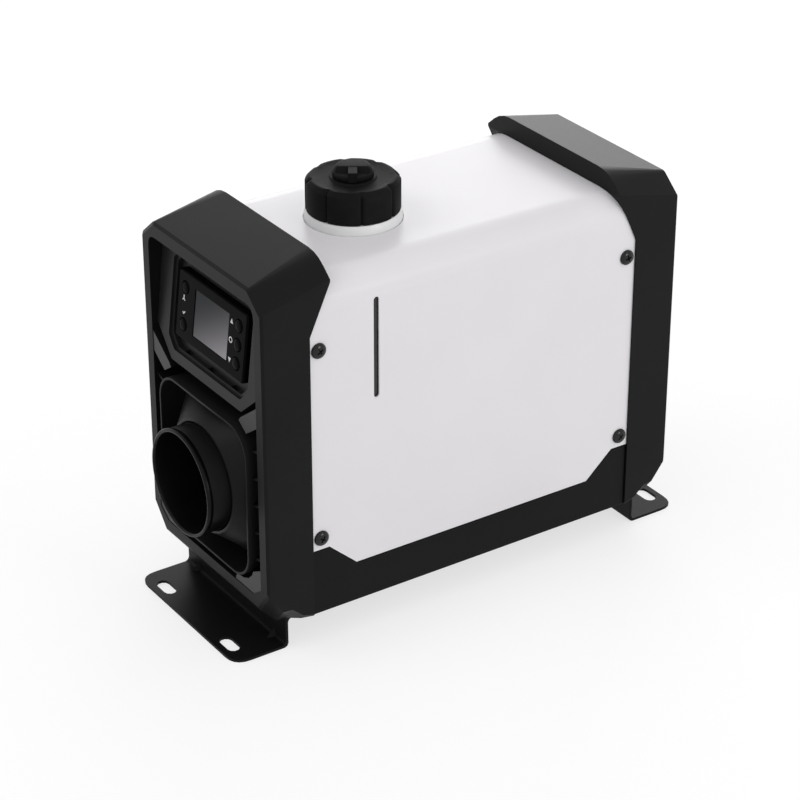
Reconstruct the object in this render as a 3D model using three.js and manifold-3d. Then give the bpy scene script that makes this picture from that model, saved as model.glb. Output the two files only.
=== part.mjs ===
// Portable diesel air heater in a sheet-metal and moulded-plastic case.
// Millimetres, +Z up, the air outlet faces -Y, the origin is the floor under the middle of the case.

import * as THREE from 'three';
import { mergeVertices } from 'three/addons/utils/BufferGeometryUtils.js';
import Module from 'manifold-3d';

// ---------------------------------------------------------------- driving dimensions

// Clearances shared by everything that fits together
const FIT_GAP = 0.3;

// Case
const CASE_LENGTH = 344;
const COVER_WIDTH = 157.3;
const FOOT_HEIGHT = 25.4;
const COVER_EDGE_TOP = 292.2;
const COVER_FACE_TOP = 279.6;
const COVER_DEPTH = 53;
const COVER_SIDE_DEPTH = 36.8;
const COVER_KINK_HEIGHT = 240.8;
const COVER_WALL = 3;
const COVER_CHAMFER_WIDTH = 15.7;
const COVER_CHAMFER_DROP = 13.2;
const COVER_EDGE_ROUND = 1.7;
const COVER_BLEND_REACH = 11;
const COVER_BLEND_STEPS = 3;
const COVER_LIP = 2.5;
const FACE_BOTTOM = 37.4;
const FACE_CORNER_WIDTH = 14;
const FACE_CORNER_HEIGHT = 16.4;
const CORNER_RUN = 19;
const CORNER_MID_HEIGHT = 10.3;

// White body cover and black base tray
const PANEL_STEP = 1.65;
const PANEL_SHEET = 1.2;
const PANEL_TOP = 277;
const PANEL_CORNER_RADIUS = 22;
const PANEL_TUCK = 11.5;
const PANEL_BOTTOM = 56.7;
const PANEL_END_BOTTOM = 76.5;
const PANEL_STEP_INSET = 72.6;
const PANEL_NOTCH_RUN = 22;
const TRAY_SHEET = 1.2;
const TRAY_SEAM = 0.7;
const TRAY_FLANGE_RISE = 9;

// Fuel level slot
const SLOT_WIDTH = 4.3;
const SLOT_LENGTH = 75.3;
const SLOT_CENTRE_HEIGHT = 218.2;
const SLOT_INSET = 89.8;
const WINDOW_WIDTH = 9;
const WINDOW_THICKNESS = 1.6;

// Front recess that holds the console and the duct bezel
const RECESS_SIDE_RIM = 9.65;
const RECESS_TOP = 268.8;
const RECESS_BOTTOM = 46.5;
const RECESS_DEPTH = 23.5;
const RECESS_WALL = 2.2;
const RECESS_CORNER_RADIUS = 9;
const RECESS_CORNER_WIDTH = 10.8;
const RECESS_CORNER_HEIGHT = 7.8;
const LOUVRE_COUNT = 5;
const LOUVRE_PITCH = 21;
const LOUVRE_LIFT = 2.1;
const LOUVRE_THICKNESS = 1.8;
const LOUVRE_SETBACK = 2.4;
const LOUVRE_SLOPE = 4;
const PLATE_SETBACK = 0.5;
const PLATE_SHEET = 1.8;
const PLATE_CLEARANCE = 2.2;
const UPPER_PLATE_HEIGHT = 25;
const UPPER_PLATE_FOOT = 9.9;
const UPPER_PLATE_TOE = 15.4;
const UPPER_PLATE_TOE_DROP = 1.1;
const UPPER_PLATE_BEND = 22.6;
const UPPER_PLATE_BEND_RISE = 8;
const UPPER_PLATE_TIP = 24.7;
const UPPER_PLATE_TIP_RISE = 5.2;
const LOWER_PLATE_HEIGHT = 25;
const LOWER_PLATE_WIDTH = 36;
const LOWER_PLATE_TIP = 33.5;
const LOWER_PLATE_TIP_RISE = 6.8;
const WIRE_HOLE_HALF_WIDTH = 30;
const WIRE_HOLE_HALF_HEIGHT = 14;

// Warm air outlet
const AIR_AXIS_HEIGHT = 112.5;
const SPOUT_RADIUS = 38.5;
const SPOUT_BEAD_HEIGHT = 0.5;
const SPOUT_BEAD_LENGTH = 3.4;
const SPOUT_WALL = 2.4;
const SPOUT_REACH = 21.5;
const BEZEL_HALF_WIDTH = 58.5;
const BEZEL_CORNER_RADIUS = 21.5;
const BEZEL_WALL = 2;
const BEZEL_LIP_REACH = 2.6;
const HOOD_REACH = 3.7;
const HOOD_RIM = 2.2;
const HOOD_FOOT_DEPTH = 19.8;
const HOOD_WALL = 2.2;

// Tilted console with the controller
const CONSOLE_TILT = 6.8;
const CONSOLE_HEIGHT = 225.8;
const CONSOLE_SETBACK = 7.05;
const CONSOLE_BOTTOM_WIDTH = 92.8;
const CONSOLE_BELOW = 44;
const CONSOLE_CHAMFER_HEIGHT = 20;
const CONSOLE_WALL = 2.4;
const POCKET_WIDTH = 104.6;
const POCKET_ABOVE = 34;
const POCKET_BELOW = 36;
const POCKET_CHAMFER = 8.5;
const POCKET_DEPTH = 6;
const POCKET_STEP_WIDTH = 2.2;
const POCKET_STEP_DEPTH = 2.2;
const POCKET_NOTCH_WIDTH = 7;
const POCKET_NOTCH_PITCH = 31;
const CONTROLLER_WIDTH = 90;
const CONTROLLER_HEIGHT = 50.5;
const CONTROLLER_DEPTH = 11;
const CONTROLLER_WALL = 1.8;
const CONTROLLER_CORNER = 3.5;
const SCREEN_WIDTH = 44;
const SCREEN_HEIGHT = 33.8;
const SCREEN_THICKNESS = 3.4;
const BUTTON_RADIUS = 4.4;
const BUTTON_PROUD = 0.9;
const BUTTON_TRAVEL = 0.8;
const BUTTON_COLUMN = 35;
const BUTTON_ROW = 13.6;
const BOARD_PLACE = 6.4;
const BOARD_THICKNESS = 1.6;

// Fuel tank, neck and cap
const NECK_INSET = 122;
const NECK_COLLAR_RADIUS = 34;
const NECK_RISE = 6.5;
const NECK_RADIUS = 26.5;
const NECK_BORE_RADIUS = 23;
const CAP_RADIUS = 32.8;
const CAP_HEIGHT = 23.2;
const CAP_ROOF = 3;
const CAP_LOBES = 10;
const CAP_NOTCH_DEPTH = 1.6;
const CAP_NOTCH_TURN = THREE.MathUtils.degToRad(-8);
const CAP_GASKET = 2.2;
const VENT_RADIUS = 14.4;
const VENT_HEIGHT = 4.4;
const VENT_GRIP_HEIGHT = 3.6;
const VENT_GRIP_STEP = 1.2;
const VENT_POINTER_WIDTH = 6.2;
const VENT_TURN = 56;
const TANK_SIDE_GAP = 4.8;
const TANK_BOTTOM = 182;
const TANK_WALL = 2.6;
const TANK_FRONT_INSET = 34;
const TANK_REAR_INSET = 30;
const TANK_CORNER_RADIUS = 16;
const SHELF_SHEET = 1.5;
const SHELF_INSET = 60;

// Heater core on the air axis
const CORE_HALF_WIDTH = 57;
const CORE_HALF_HEIGHT = 58;
const CORE_CORNER_RADIUS = 30;
const CORE_SHELL = 2.4;
const CORE_FRONT_INSET = 60;
const CORE_REAR_INSET = 56;
const EXCHANGER_RADIUS = 34;
const EXCHANGER_WALL = 4;
const EXCHANGER_FINS = 14;
const EXCHANGER_FIN_REACH = 14;
const EXCHANGER_FIN_THICKNESS = 2.2;
const EXCHANGER_INSET = 14;
const PEDESTAL_WIDTH = 62;
const PEDESTAL_LENGTH = 84;
const PEDESTAL_SHIFT = 8;
const GASKET_THICKNESS = 2.4;
const BURNER_RADIUS = 24;
const BURNER_WALL = 1.6;
const BURNER_FLANGE_RADIUS = 40;
const BURNER_FLANGE = 4;
const GLOW_PLUG_PLACE = 14;
const SCROLL_LENGTH = 26;
const SCROLL_WALL = 3;
const IMPELLER_RADIUS = 33;
const IMPELLER_LENGTH = 10;
const IMPELLER_BLADE_REACH = 16;
const IMPELLER_BLADES = 10;
const MOTOR_RADIUS = 21;
const MOTOR_LENGTH = 40;
const SHAFT_RADIUS = 2.5;
const FAN_RADIUS = 50;
const FAN_HUB_RADIUS = 17;
const FAN_LENGTH = 17;
const FAN_GAP = 2;
const FAN_SETBACK = 12.1;
const FAN_BLADES = 9;
const FAN_TWIST = 42;
const GUARD_RINGS = 3;
const GUARD_BAR = 2.4;
const CONTROL_WIDTH = 60;
const CONTROL_MARGIN = 5;
const CONTROL_SEAT = 8;
const CONTROL_HEADROOM = 12;
const PIPE_RADIUS = 12;
const PIPE_WALL = 1.5;
const PIPE_DROP = 15;
const PIPE_SPACING = 44;

// Fuel pump and lines
const PUMP_RADIUS = 13.5;
const PUMP_LENGTH = 52;
const PUMP_SPIGOT = 8;
const PUMP_LIFT = 40;
const PUMP_CLEARANCE = 6;
const CLAMP_LENGTH = 10;
const CLAMP_SHEET = 2.6;
const HOSE_BEND = 8;
const HOSE_RADIUS = 2.5;

// Rear cover intake and cable entry
const INTAKE_WIDTH = 112;
const INTAKE_HEIGHT = 112;
const INTAKE_SLOT = 6;
const INTAKE_PITCH = 11;
const GROMMET_RADIUS = 7;

// Screws
const SCREW_HEAD_RADIUS = 5.65;
const SCREW_HEAD_HEIGHT = 2.6;
const SCREW_SHANK_RADIUS = 2;
const SIDE_SCREW_LENGTH = 6;
const FOOT_SCREW_LENGTH = 9;
const SCREW_INSET = 7.2;
const SCREW_LOW = 85.6;
const SCREW_HIGH = 229;
const TAB_THICKNESS = 3;
const TAB_HALF_HEIGHT = 8.5;

// Feet
const FOOT_SIDE_INSET = 11.35;
const FOOT_WEB_INSET = 20;
const FOOT_PLATE_LENGTH = 41.5;
const FOOT_SHEET = 2;
const FOOT_BEND_RADIUS = 3;
const FOOT_TOP_LENGTH = 34;
const FOOT_CORNER_RADIUS = 13;
const FOOT_SLOT_LENGTH = 19.5;
const FOOT_SLOT_WIDTH = 9.4;
const FOOT_SLOT_SIDE = 23.1;
const FOOT_SLOT_INSET = 9.7;
const GUSSET_SIDE = 15.3;
const GUSSET_WIDTH = 6;
const GUSSET_REACH = 7;
const FOOT_SCREW_INSET = 8.2;
const FOOT_SCREW_SPACING = 84;

// ---------------------------------------------------------------- sizes worked out from them

const HALF_LENGTH = CASE_LENGTH / 2;
const COVER_HALF = COVER_WIDTH / 2;
const PANEL_HALF = COVER_HALF - PANEL_STEP;
const PANEL_INNER = PANEL_HALF - PANEL_SHEET;
const COVER_EDGE = HALF_LENGTH - COVER_SIDE_DEPTH;
const COVER_TOP_EDGE = HALF_LENGTH - COVER_DEPTH;
const PANEL_END = COVER_EDGE + PANEL_TUCK;
const TRAY_END = COVER_EDGE - TRAY_SEAM;
const TRAY_FLOOR_TOP = FOOT_HEIGHT + TRAY_SHEET;
const RECESS_FLOOR = -HALF_LENGTH + RECESS_DEPTH;
const RECESS_BACK = RECESS_FLOOR + RECESS_WALL;
const NECK_TOP = PANEL_TOP + NECK_RISE + CAP_HEIGHT - CAP_ROOF - CAP_GASKET - 2 * FIT_GAP;
const CAP_BOTTOM = PANEL_TOP + NECK_RISE + FIT_GAP;
const CAP_TOP = CAP_BOTTOM + CAP_HEIGHT;
const TILT = THREE.MathUtils.degToRad(CONSOLE_TILT);
const PANEL_STRAIGHT = HALF_LENGTH - PANEL_STEP_INSET;
const SLOT_PLACE = HALF_LENGTH - SLOT_INSET;
const RECESS_HALF_WIDTH = COVER_HALF - RECESS_SIDE_RIM;
const SPOUT_FRONT = -HALF_LENGTH - SPOUT_REACH;
const SPOUT_BACK = RECESS_BACK + 3;
const NECK_PLACE = HALF_LENGTH - NECK_INSET;
const TANK_TOP = PANEL_TOP - PANEL_SHEET - FIT_GAP;
const TANK_HALF_WIDTH = PANEL_INNER - TANK_SIDE_GAP;
const TANK_FRONT = HALF_LENGTH - TANK_FRONT_INSET;
const TANK_REAR = HALF_LENGTH - TANK_REAR_INSET;
const SHELF_REACH = HALF_LENGTH - SHELF_INSET;
const CORE_FRONT = HALF_LENGTH - CORE_FRONT_INSET;
const CORE_REAR = HALF_LENGTH - CORE_REAR_INSET;
const SHAFT_END = CORE_REAR - FAN_SETBACK;
const FAN_FRONT = SHAFT_END - FAN_LENGTH;
const MOTOR_BACK = FAN_FRONT - FAN_GAP;
const SCROLL_BACK = MOTOR_BACK - MOTOR_LENGTH - FIT_GAP;
const BURNER_BACK = SCROLL_BACK - SCROLL_LENGTH - FIT_GAP;
const EXCHANGER_BACK = BURNER_BACK - BURNER_FLANGE - FIT_GAP;
const EXCHANGER_FRONT = CORE_FRONT - EXCHANGER_INSET;
const PEDESTAL_PLACE = (EXCHANGER_BACK - EXCHANGER_FRONT) / 2 + PEDESTAL_SHIFT;
const SCREW_PLACE = COVER_EDGE - SCREW_INSET;
const FOOT_SCREW_PLACE = COVER_EDGE - FOOT_SCREW_INSET;
const FOOT_WIDTH = COVER_WIDTH - 2 * FOOT_SIDE_INSET;
const FOOT_WEB_PLACE = HALF_LENGTH - FOOT_WEB_INSET;
const FOOT_REACH = FOOT_WEB_PLACE + FOOT_PLATE_LENGTH;
const FOOT_SLOT_PLACE = FOOT_REACH - FOOT_SLOT_INSET;
const FOOT_SLOT_SPACING = FOOT_WIDTH - 2 * FOOT_SLOT_SIDE;
const GUSSET_SPACING = FOOT_WIDTH - 2 * GUSSET_SIDE;

// ---------------------------------------------------------------- solids and outlines

const wasm = await Module();
wasm.setup();

const asSolid = (geometry) => {
  const bare = geometry.clone();
  bare.deleteAttribute('normal');
  bare.deleteAttribute('uv');
  const merged = mergeVertices(bare, 1e-4);
  return new wasm.Manifold(new wasm.Mesh({
    numProp: 3,
    vertProperties: new Float32Array(merged.attributes.position.array),
    triVerts: new Uint32Array(merged.index.array),
  }));
};

const asGeometry = (solid) => {
  const mesh = solid.getMesh();
  const geometry = new THREE.BufferGeometry();
  geometry.setAttribute('position', new THREE.BufferAttribute(mesh.vertProperties, 3));
  geometry.setIndex(new THREE.BufferAttribute(mesh.triVerts, 1));
  return geometry;
};

const join = (...parts) => asGeometry(parts.map(asSolid).reduce((whole, next) => whole.add(next)));

const cut = (base, ...tools) => asGeometry(tools.map(asSolid)
  .reduce((whole, tool) => whole.subtract(tool), asSolid(base)));

const common = (first, second) => asGeometry(asSolid(first).intersect(asSolid(second)));

// Turns the faces of a closed indexed mesh outwards where they point in
const outward = (geometry) => {
  if (asSolid(geometry).volume() < 0) {
    const index = geometry.index.array;
    for (let i = 0; i < index.length; i += 3) {
      [index[i], index[i + 1]] = [index[i + 1], index[i]];
    }
  }
  return geometry;
};

// A copy mirrored across the plane x = 0 or y = 0
const mirrored = (geometry, axis) => {
  const copy = asGeometry(asSolid(geometry));
  copy.scale(axis === 'x' ? -1 : 1, axis === 'y' ? -1 : 1, 1);
  return outward(copy);
};

const bothSides = (geometry) => join(geometry, mirrored(geometry, 'x'));

// Outlines are lists of [u, v]
const rectangle = (u0, v0, u1, v1) => [[u0, v0], [u1, v0], [u1, v1], [u0, v1]];

const circle = (u, v, radius, steps) => Array.from({ length: steps }, (_, i) => {
  const angle = (2 * Math.PI * i) / steps;
  return [u + radius * Math.cos(angle), v + radius * Math.sin(angle)];
});

// Rounds every corner of a convex outline, or each with its own radius from a list
const rounded = (outline, radius, steps = 4) => outline.flatMap((corner, i) => {
  const size = Array.isArray(radius) ? radius[i] : radius;
  if (size <= 0) {
    return [corner];
  }
  const here = new THREE.Vector2(...corner);
  const before = new THREE.Vector2(...outline[(i + outline.length - 1) % outline.length]).sub(here);
  const after = new THREE.Vector2(...outline[(i + 1) % outline.length]).sub(here);
  const half = Math.acos(before.clone().normalize().dot(after.clone().normalize())) / 2;
  const reach = Math.min(size / Math.tan(half), before.length() / 2.02, after.length() / 2.02);
  const start = here.clone().add(before.setLength(reach));
  const end = here.clone().add(after.setLength(reach));
  const bulge = new THREE.QuadraticBezierCurve(start, here, end);
  const arc = bulge.getPoints(steps);
  return arc.map((point) => [point.x, point.y]);
});

const slotOutline = (u, v, lengthU, lengthV, steps = 5) => {
  const radius = Math.min(lengthU, lengthV) / 2;
  const runU = lengthU / 2 - radius;
  const runV = lengthV / 2 - radius;
  const points = [];
  for (let side = 0; side < 2; side += 1) {
    const middle = (lengthU > lengthV ? 0 : Math.PI / 2) + side * Math.PI;
    const sign = side === 0 ? 1 : -1;
    for (let i = 0; i <= steps; i += 1) {
      const angle = middle - Math.PI / 2 + (Math.PI * i) / steps;
      points.push([u + sign * runU + radius * Math.cos(angle), v + sign * runV + radius * Math.sin(angle)]);
    }
  }
  return points;
};

const shapeOf = (outline, holes) => {
  const shape = new THREE.Shape(outline.map(([u, v]) => new THREE.Vector2(u, v)));
  shape.holes = holes.map((hole) => new THREE.Path(hole.map(([u, v]) => new THREE.Vector2(u, v))));
  return shape;
};

// Straight extrusions: outlines are (y, z) along X, (x, z) along Y and (x, y) along Z
const extruded = (outline, depth, holes) => new THREE.ExtrudeGeometry(shapeOf(outline, holes), {
  depth,
  bevelEnabled: false,
  steps: 1,
});

const basis = (x, y, z) => new THREE.Matrix4().makeBasis(
  new THREE.Vector3(...x),
  new THREE.Vector3(...y),
  new THREE.Vector3(...z),
);

const prismX = (outline, from, to, holes = []) => extruded(outline, to - from, holes)
  .applyMatrix4(basis([0, 1, 0], [0, 0, 1], [1, 0, 0]))
  .translate(from, 0, 0);

const prismY = (outline, from, to, holes = []) => extruded(outline, to - from, holes)
  .applyMatrix4(basis([1, 0, 0], [0, 0, 1], [0, -1, 0]))
  .translate(0, to, 0);

const prismZ = (outline, from, to, holes = []) => extruded(outline, to - from, holes)
  .translate(0, 0, from);

const box = (x0, x1, y0, y1, z0, z1) => prismZ(rectangle(x0, y0, x1, y1), z0, z1);

// A solid of revolution about Z from a closed or axis-to-axis profile of [radius, z]
const turnedZ = (profile, steps) => {
  const lathe = new THREE.LatheGeometry(profile.map(([r, z]) => new THREE.Vector2(r, z)), steps);
  lathe.deleteAttribute('normal');
  lathe.deleteAttribute('uv');
  return outward(mergeVertices(lathe.rotateX(Math.PI / 2), 1e-4));
};

// The same about an axis along Y at the height of the air axis, profile of [radius, y]
const turnedY = (profile, steps) => turnedZ(profile.map(([r, y]) => [r, -y]), steps)
  .rotateX(Math.PI / 2)
  .translate(0, 0, AIR_AXIS_HEIGHT);

const rodX = (x0, x1, y, z, radius, steps) => prismX(circle(y, z, radius, steps), x0, x1);
const rodY = (x, y0, y1, z, radius, steps) => prismY(circle(x, z, radius, steps), y0, y1);
const rodZ = (x, y, z0, z1, radius, steps) => prismZ(circle(x, y, radius, steps), z0, z1);

// Skins a stack of rings that all have the same number of points [x, y, z] and closes both ends
const loft = (rings) => {
  const count = rings[0].length;
  const positions = rings.flat(2);
  const index = [];
  for (let ring = 0; ring < rings.length - 1; ring += 1) {
    for (let i = 0; i < count; i += 1) {
      const a = ring * count + i;
      const b = ring * count + ((i + 1) % count);
      index.push(a, b, b + count, a, b + count, a + count);
    }
  }
  const last = (rings.length - 1) * count;
  for (let i = 1; i < count - 1; i += 1) {
    index.push(0, i + 1, i);
    index.push(last, last + i, last + i + 1);
  }
  const geometry = new THREE.BufferGeometry();
  geometry.setAttribute('position', new THREE.Float32BufferAttribute(positions, 3));
  geometry.setIndex(index);
  return outward(geometry);
};

// A round hose along a smooth curve through its points
const hose = (points, radius) => {
  const curve = new THREE.CatmullRomCurve3(points.map((point) => new THREE.Vector3(...point)));
  const section = shapeOf(circle(0, 0, radius, 7), []);
  return new THREE.ExtrudeGeometry(section, { steps: 2 * points.length, extrudePath: curve });
};

// ---------------------------------------------------------------- body outlines shared by several pieces

// Section of the white cover at a distance outside (or, when negative, inside) its outer face
const panelSection = (offset, bottom) => rounded(
  rectangle(-PANEL_HALF - offset, bottom, PANEL_HALF + offset, PANEL_TOP + offset),
  [0, 0, PANEL_CORNER_RADIUS + offset, PANEL_CORNER_RADIUS + offset],
  6,
);

// The long lower edge of the side panels, stepped up towards both ends; returns the region below it
const belowPanelEdge = (gap) => {
  const straight = PANEL_STRAIGHT;
  const raised = straight + PANEL_NOTCH_RUN;
  const far = HALF_LENGTH;
  return [
    [-far, 0], [far, 0],
    [far, PANEL_END_BOTTOM - gap], [raised, PANEL_END_BOTTOM - gap],
    [straight, PANEL_BOTTOM - gap], [-straight, PANEL_BOTTOM - gap],
    [-raised, PANEL_END_BOTTOM - gap], [-far, PANEL_END_BOTTOM - gap],
  ];
};

// Height of the bevelled lower corner of an end cover at a depth behind its face
const cornerHeight = (depth) => {
  if (depth < CORNER_RUN) {
    return THREE.MathUtils.lerp(FACE_CORNER_HEIGHT, CORNER_MID_HEIGHT, depth / CORNER_RUN);
  }
  const rest = Math.min((depth - CORNER_RUN) / (COVER_SIDE_DEPTH - CORNER_RUN), 1);
  return CORNER_MID_HEIGHT * (1 - rest) ** 2 + COVER_EDGE_ROUND;
};

// One ring of an end cover: a box section with two top chamfers and two lower corner bevels
const coverRing = (depth, inset) => {
  const half = COVER_HALF - inset;
  const bevel = Math.max(FACE_BOTTOM - FOOT_HEIGHT - depth, 0);
  const bottom = FOOT_HEIGHT + bevel + inset;
  const top = COVER_FACE_TOP + ((COVER_EDGE_TOP - COVER_FACE_TOP) * depth) / COVER_DEPTH - inset;
  const height = cornerHeight(depth);
  const width = (height * FACE_CORNER_WIDTH) / FACE_CORNER_HEIGHT;
  const y = depth - HALF_LENGTH;
  const blend = THREE.MathUtils.lerp(COVER_EDGE_ROUND, COVER_BLEND_REACH, Math.min(depth / COVER_DEPTH, 1));
  const chamfer = new THREE.Vector2(-COVER_CHAMFER_WIDTH, COVER_CHAMFER_DROP).setLength(blend);
  const corner = new THREE.Vector2(half - COVER_CHAMFER_WIDTH, top);
  const bend = new THREE.QuadraticBezierCurve(
    corner.clone().sub(chamfer),
    corner,
    corner.clone().add(new THREE.Vector2(-blend, 0)),
  );
  const side = [
    [half - width, bottom],
    [half, bottom + height],
    [half, top - COVER_CHAMFER_DROP],
    ...bend.getPoints(COVER_BLEND_STEPS).map((point) => [point.x, point.y]),
  ];
  const left = side.map(([x, z]) => [-x, z]).reverse();
  return [...side, ...left].map(([x, z]) => [x, y, z]);
};

const coverBody = (inset, start, end) => {
  const bevelEnd = FACE_BOTTOM - FOOT_HEIGHT;
  const middle = (CORNER_RUN + COVER_SIDE_DEPTH) / 2;
  const depths = [start, bevelEnd, CORNER_RUN, middle, COVER_SIDE_DEPTH, end];
  const rings = depths.map((depth) => coverRing(depth, inset));
  if (inset === 0) {
    const face = coverRing(start, COVER_EDGE_ROUND);
    return loft([face, coverRing(start + COVER_EDGE_ROUND, 0), ...rings.slice(1)]);
  }
  return loft(rings);
};

// Everything behind the slanted inner edge of a front cover
const behindCoverEdge = () => prismX([
  [-COVER_EDGE, 0],
  [-COVER_EDGE, COVER_KINK_HEIGHT],
  [-COVER_TOP_EDGE, PANEL_TOP],
  [-COVER_TOP_EDGE, COVER_EDGE_TOP + COVER_WALL],
  [0, COVER_EDGE_TOP + COVER_WALL],
  [0, 0],
], -COVER_WIDTH, COVER_WIDTH);

// Screw places on the right-hand side, for one end
const SCREW_HEIGHTS = [SCREW_LOW, SCREW_HIGH];

// A tab behind the side sheet, with its screw hole, that ties an end cover to the sheet
const coverTab = (height) => {
  const outer = PANEL_INNER - FIT_GAP;
  const from = -PANEL_END - COVER_WALL;
  const to = -SCREW_PLACE + TAB_HALF_HEIGHT;
  const tab = box(outer - TAB_THICKNESS, outer, from, to, height - TAB_HALF_HEIGHT, height + TAB_HALF_HEIGHT);
  const root = box(outer - TAB_THICKNESS, COVER_HALF - 1, from - TAB_THICKNESS, from + 2,
    height - TAB_HALF_HEIGHT, height + TAB_HALF_HEIGHT);
  const hole = rodX(0, COVER_HALF, -SCREW_PLACE, height, SCREW_SHANK_RADIUS + FIT_GAP, 8);
  return cut(join(tab, root), hole);
};

// The two foot screws' holes at one end
const footScrewHoles = (end) => [-1, 1].map((side) => rodZ(
  (side * FOOT_SCREW_SPACING) / 2,
  end * FOOT_SCREW_PLACE,
  0,
  2 * FOOT_HEIGHT,
  SCREW_SHANK_RADIUS + FIT_GAP,
  8,
));

// A tongue under the case that lies on the tray floor, with the foot screws' holes
const coverTongue = () => {
  const half = FOOT_SCREW_SPACING / 2 + 9;
  const low = TRAY_FLOOR_TOP + FIT_GAP;
  const tongue = box(-half, half, -COVER_EDGE - 8, -FOOT_SCREW_PLACE + 7, low, low + TAB_THICKNESS);
  return cut(tongue, ...footScrewHoles(-1));
};

// Region along the slanted inner edge, over the kink, where a cover turns down on to the white sheet
const lipRegion = () => prismX([
  [-COVER_EDGE - COVER_LIP, COVER_KINK_HEIGHT],
  [-COVER_TOP_EDGE - COVER_LIP, PANEL_TOP],
  [-COVER_TOP_EDGE - COVER_LIP, COVER_EDGE_TOP + COVER_WALL],
  [0, COVER_EDGE_TOP + COVER_WALL],
  [0, COVER_KINK_HEIGHT],
], -COVER_WIDTH, COVER_WIDTH);

// Thin moulded shell of an end cover, with a lip that closes its upper edge against the white sheet
const coverShell = () => {
  const shell = coverBody(0, 0, COVER_DEPTH + 2);
  const hollow = coverBody(COVER_WALL, COVER_WALL, COVER_DEPTH + 4);
  const lap = prismY(panelSection(FIT_GAP, PANEL_END_BOTTOM - 1), -PANEL_END - FIT_GAP, 0);
  const closed = join(cut(shell, hollow), common(shell, lipRegion()));
  return cut(closed, lap, behindCoverEdge());
};

const coverFixings = () => [
  ...SCREW_HEIGHTS.map((height) => bothSides(coverTab(height))),
  coverTongue(),
];

// ---------------------------------------------------------------- front cover

const recessOutline = (offset) => {
  const half = RECESS_HALF_WIDTH + offset;
  const low = RECESS_BOTTOM - offset;
  const high = RECESS_TOP + offset;
  const round = RECESS_CORNER_RADIUS + offset;
  return rounded([
    [-half + RECESS_CORNER_WIDTH, low], [half - RECESS_CORNER_WIDTH, low],
    [half, low + RECESS_CORNER_HEIGHT], [half, high],
    [-half, high], [-half, low + RECESS_CORNER_HEIGHT],
  ], [0, 0, 0, round, round, 0], 4);
};

// One sloped louvre between the duct bezel and the right wall of the recess
const louvre = (place) => {
  const height = AIR_AXIS_HEIGHT + LOUVRE_LIFT + (place - (LOUVRE_COUNT - 1) / 2) * LOUVRE_PITCH;
  const inner = BEZEL_HALF_WIDTH + FIT_GAP;
  const outer = RECESS_HALF_WIDTH + RECESS_WALL / 2;
  return prismY([
    [inner, height], [outer, height + LOUVRE_SLOPE],
    [outer, height + LOUVRE_SLOPE + LOUVRE_THICKNESS], [inner, height + LOUVRE_THICKNESS],
  ], -HALF_LENGTH + LOUVRE_SETBACK, RECESS_BACK);
};

// A convex outline moved inwards by a distance
const shrunk = (outline, distance) => outline.map((corner, i) => {
  const count = outline.length;
  const here = new THREE.Vector2(...corner);
  const before = new THREE.Vector2(...outline[(i + count - 1) % count]).sub(here).normalize();
  const after = new THREE.Vector2(...outline[(i + 1) % count]).sub(here).normalize();
  const sine = Math.abs(before.cross(after));
  const inward = before.clone().add(after).multiplyScalar(distance / sine);
  return [here.x + inward.x, here.y + inward.y];
});

// Nearly flush corner plates of the recess, hollow from behind: the block and the hollow in it
const cornerBlock = (outline) => bothSides(prismY(outline, -HALF_LENGTH + PLATE_SETBACK, RECESS_BACK));
const cornerHollow = (outline) => bothSides(prismY(
  shrunk(outline, PLATE_SHEET),
  -HALF_LENGTH + PLATE_SETBACK + PLATE_SHEET,
  RECESS_BACK + 1,
));

// Plates over and under the duct bezel on the right, from the recess wall to the moat round the bezel
const upperPlate = () => {
  const wall = RECESS_HALF_WIDTH + RECESS_WALL / 2;
  const low = AIR_AXIS_HEIGHT + BEZEL_HALF_WIDTH;
  return [
    [wall - UPPER_PLATE_TOE, low - UPPER_PLATE_TOE_DROP],
    [wall, low + UPPER_PLATE_FOOT],
    [wall, low + UPPER_PLATE_HEIGHT],
    [wall - UPPER_PLATE_BEND, low + UPPER_PLATE_BEND_RISE],
    [wall - UPPER_PLATE_TIP, low + UPPER_PLATE_TIP_RISE],
  ];
};

const lowerPlate = () => {
  const wall = RECESS_HALF_WIDTH + RECESS_WALL / 2;
  const low = RECESS_BOTTOM - RECESS_WALL / 2;
  return [
    [wall - LOWER_PLATE_WIDTH, low],
    [wall - RECESS_CORNER_WIDTH, low],
    [wall, low + RECESS_CORNER_HEIGHT],
    [wall, low + LOWER_PLATE_HEIGHT],
    [wall - LOWER_PLATE_TIP, low + LOWER_PLATE_TIP_RISE],
  ];
};

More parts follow.
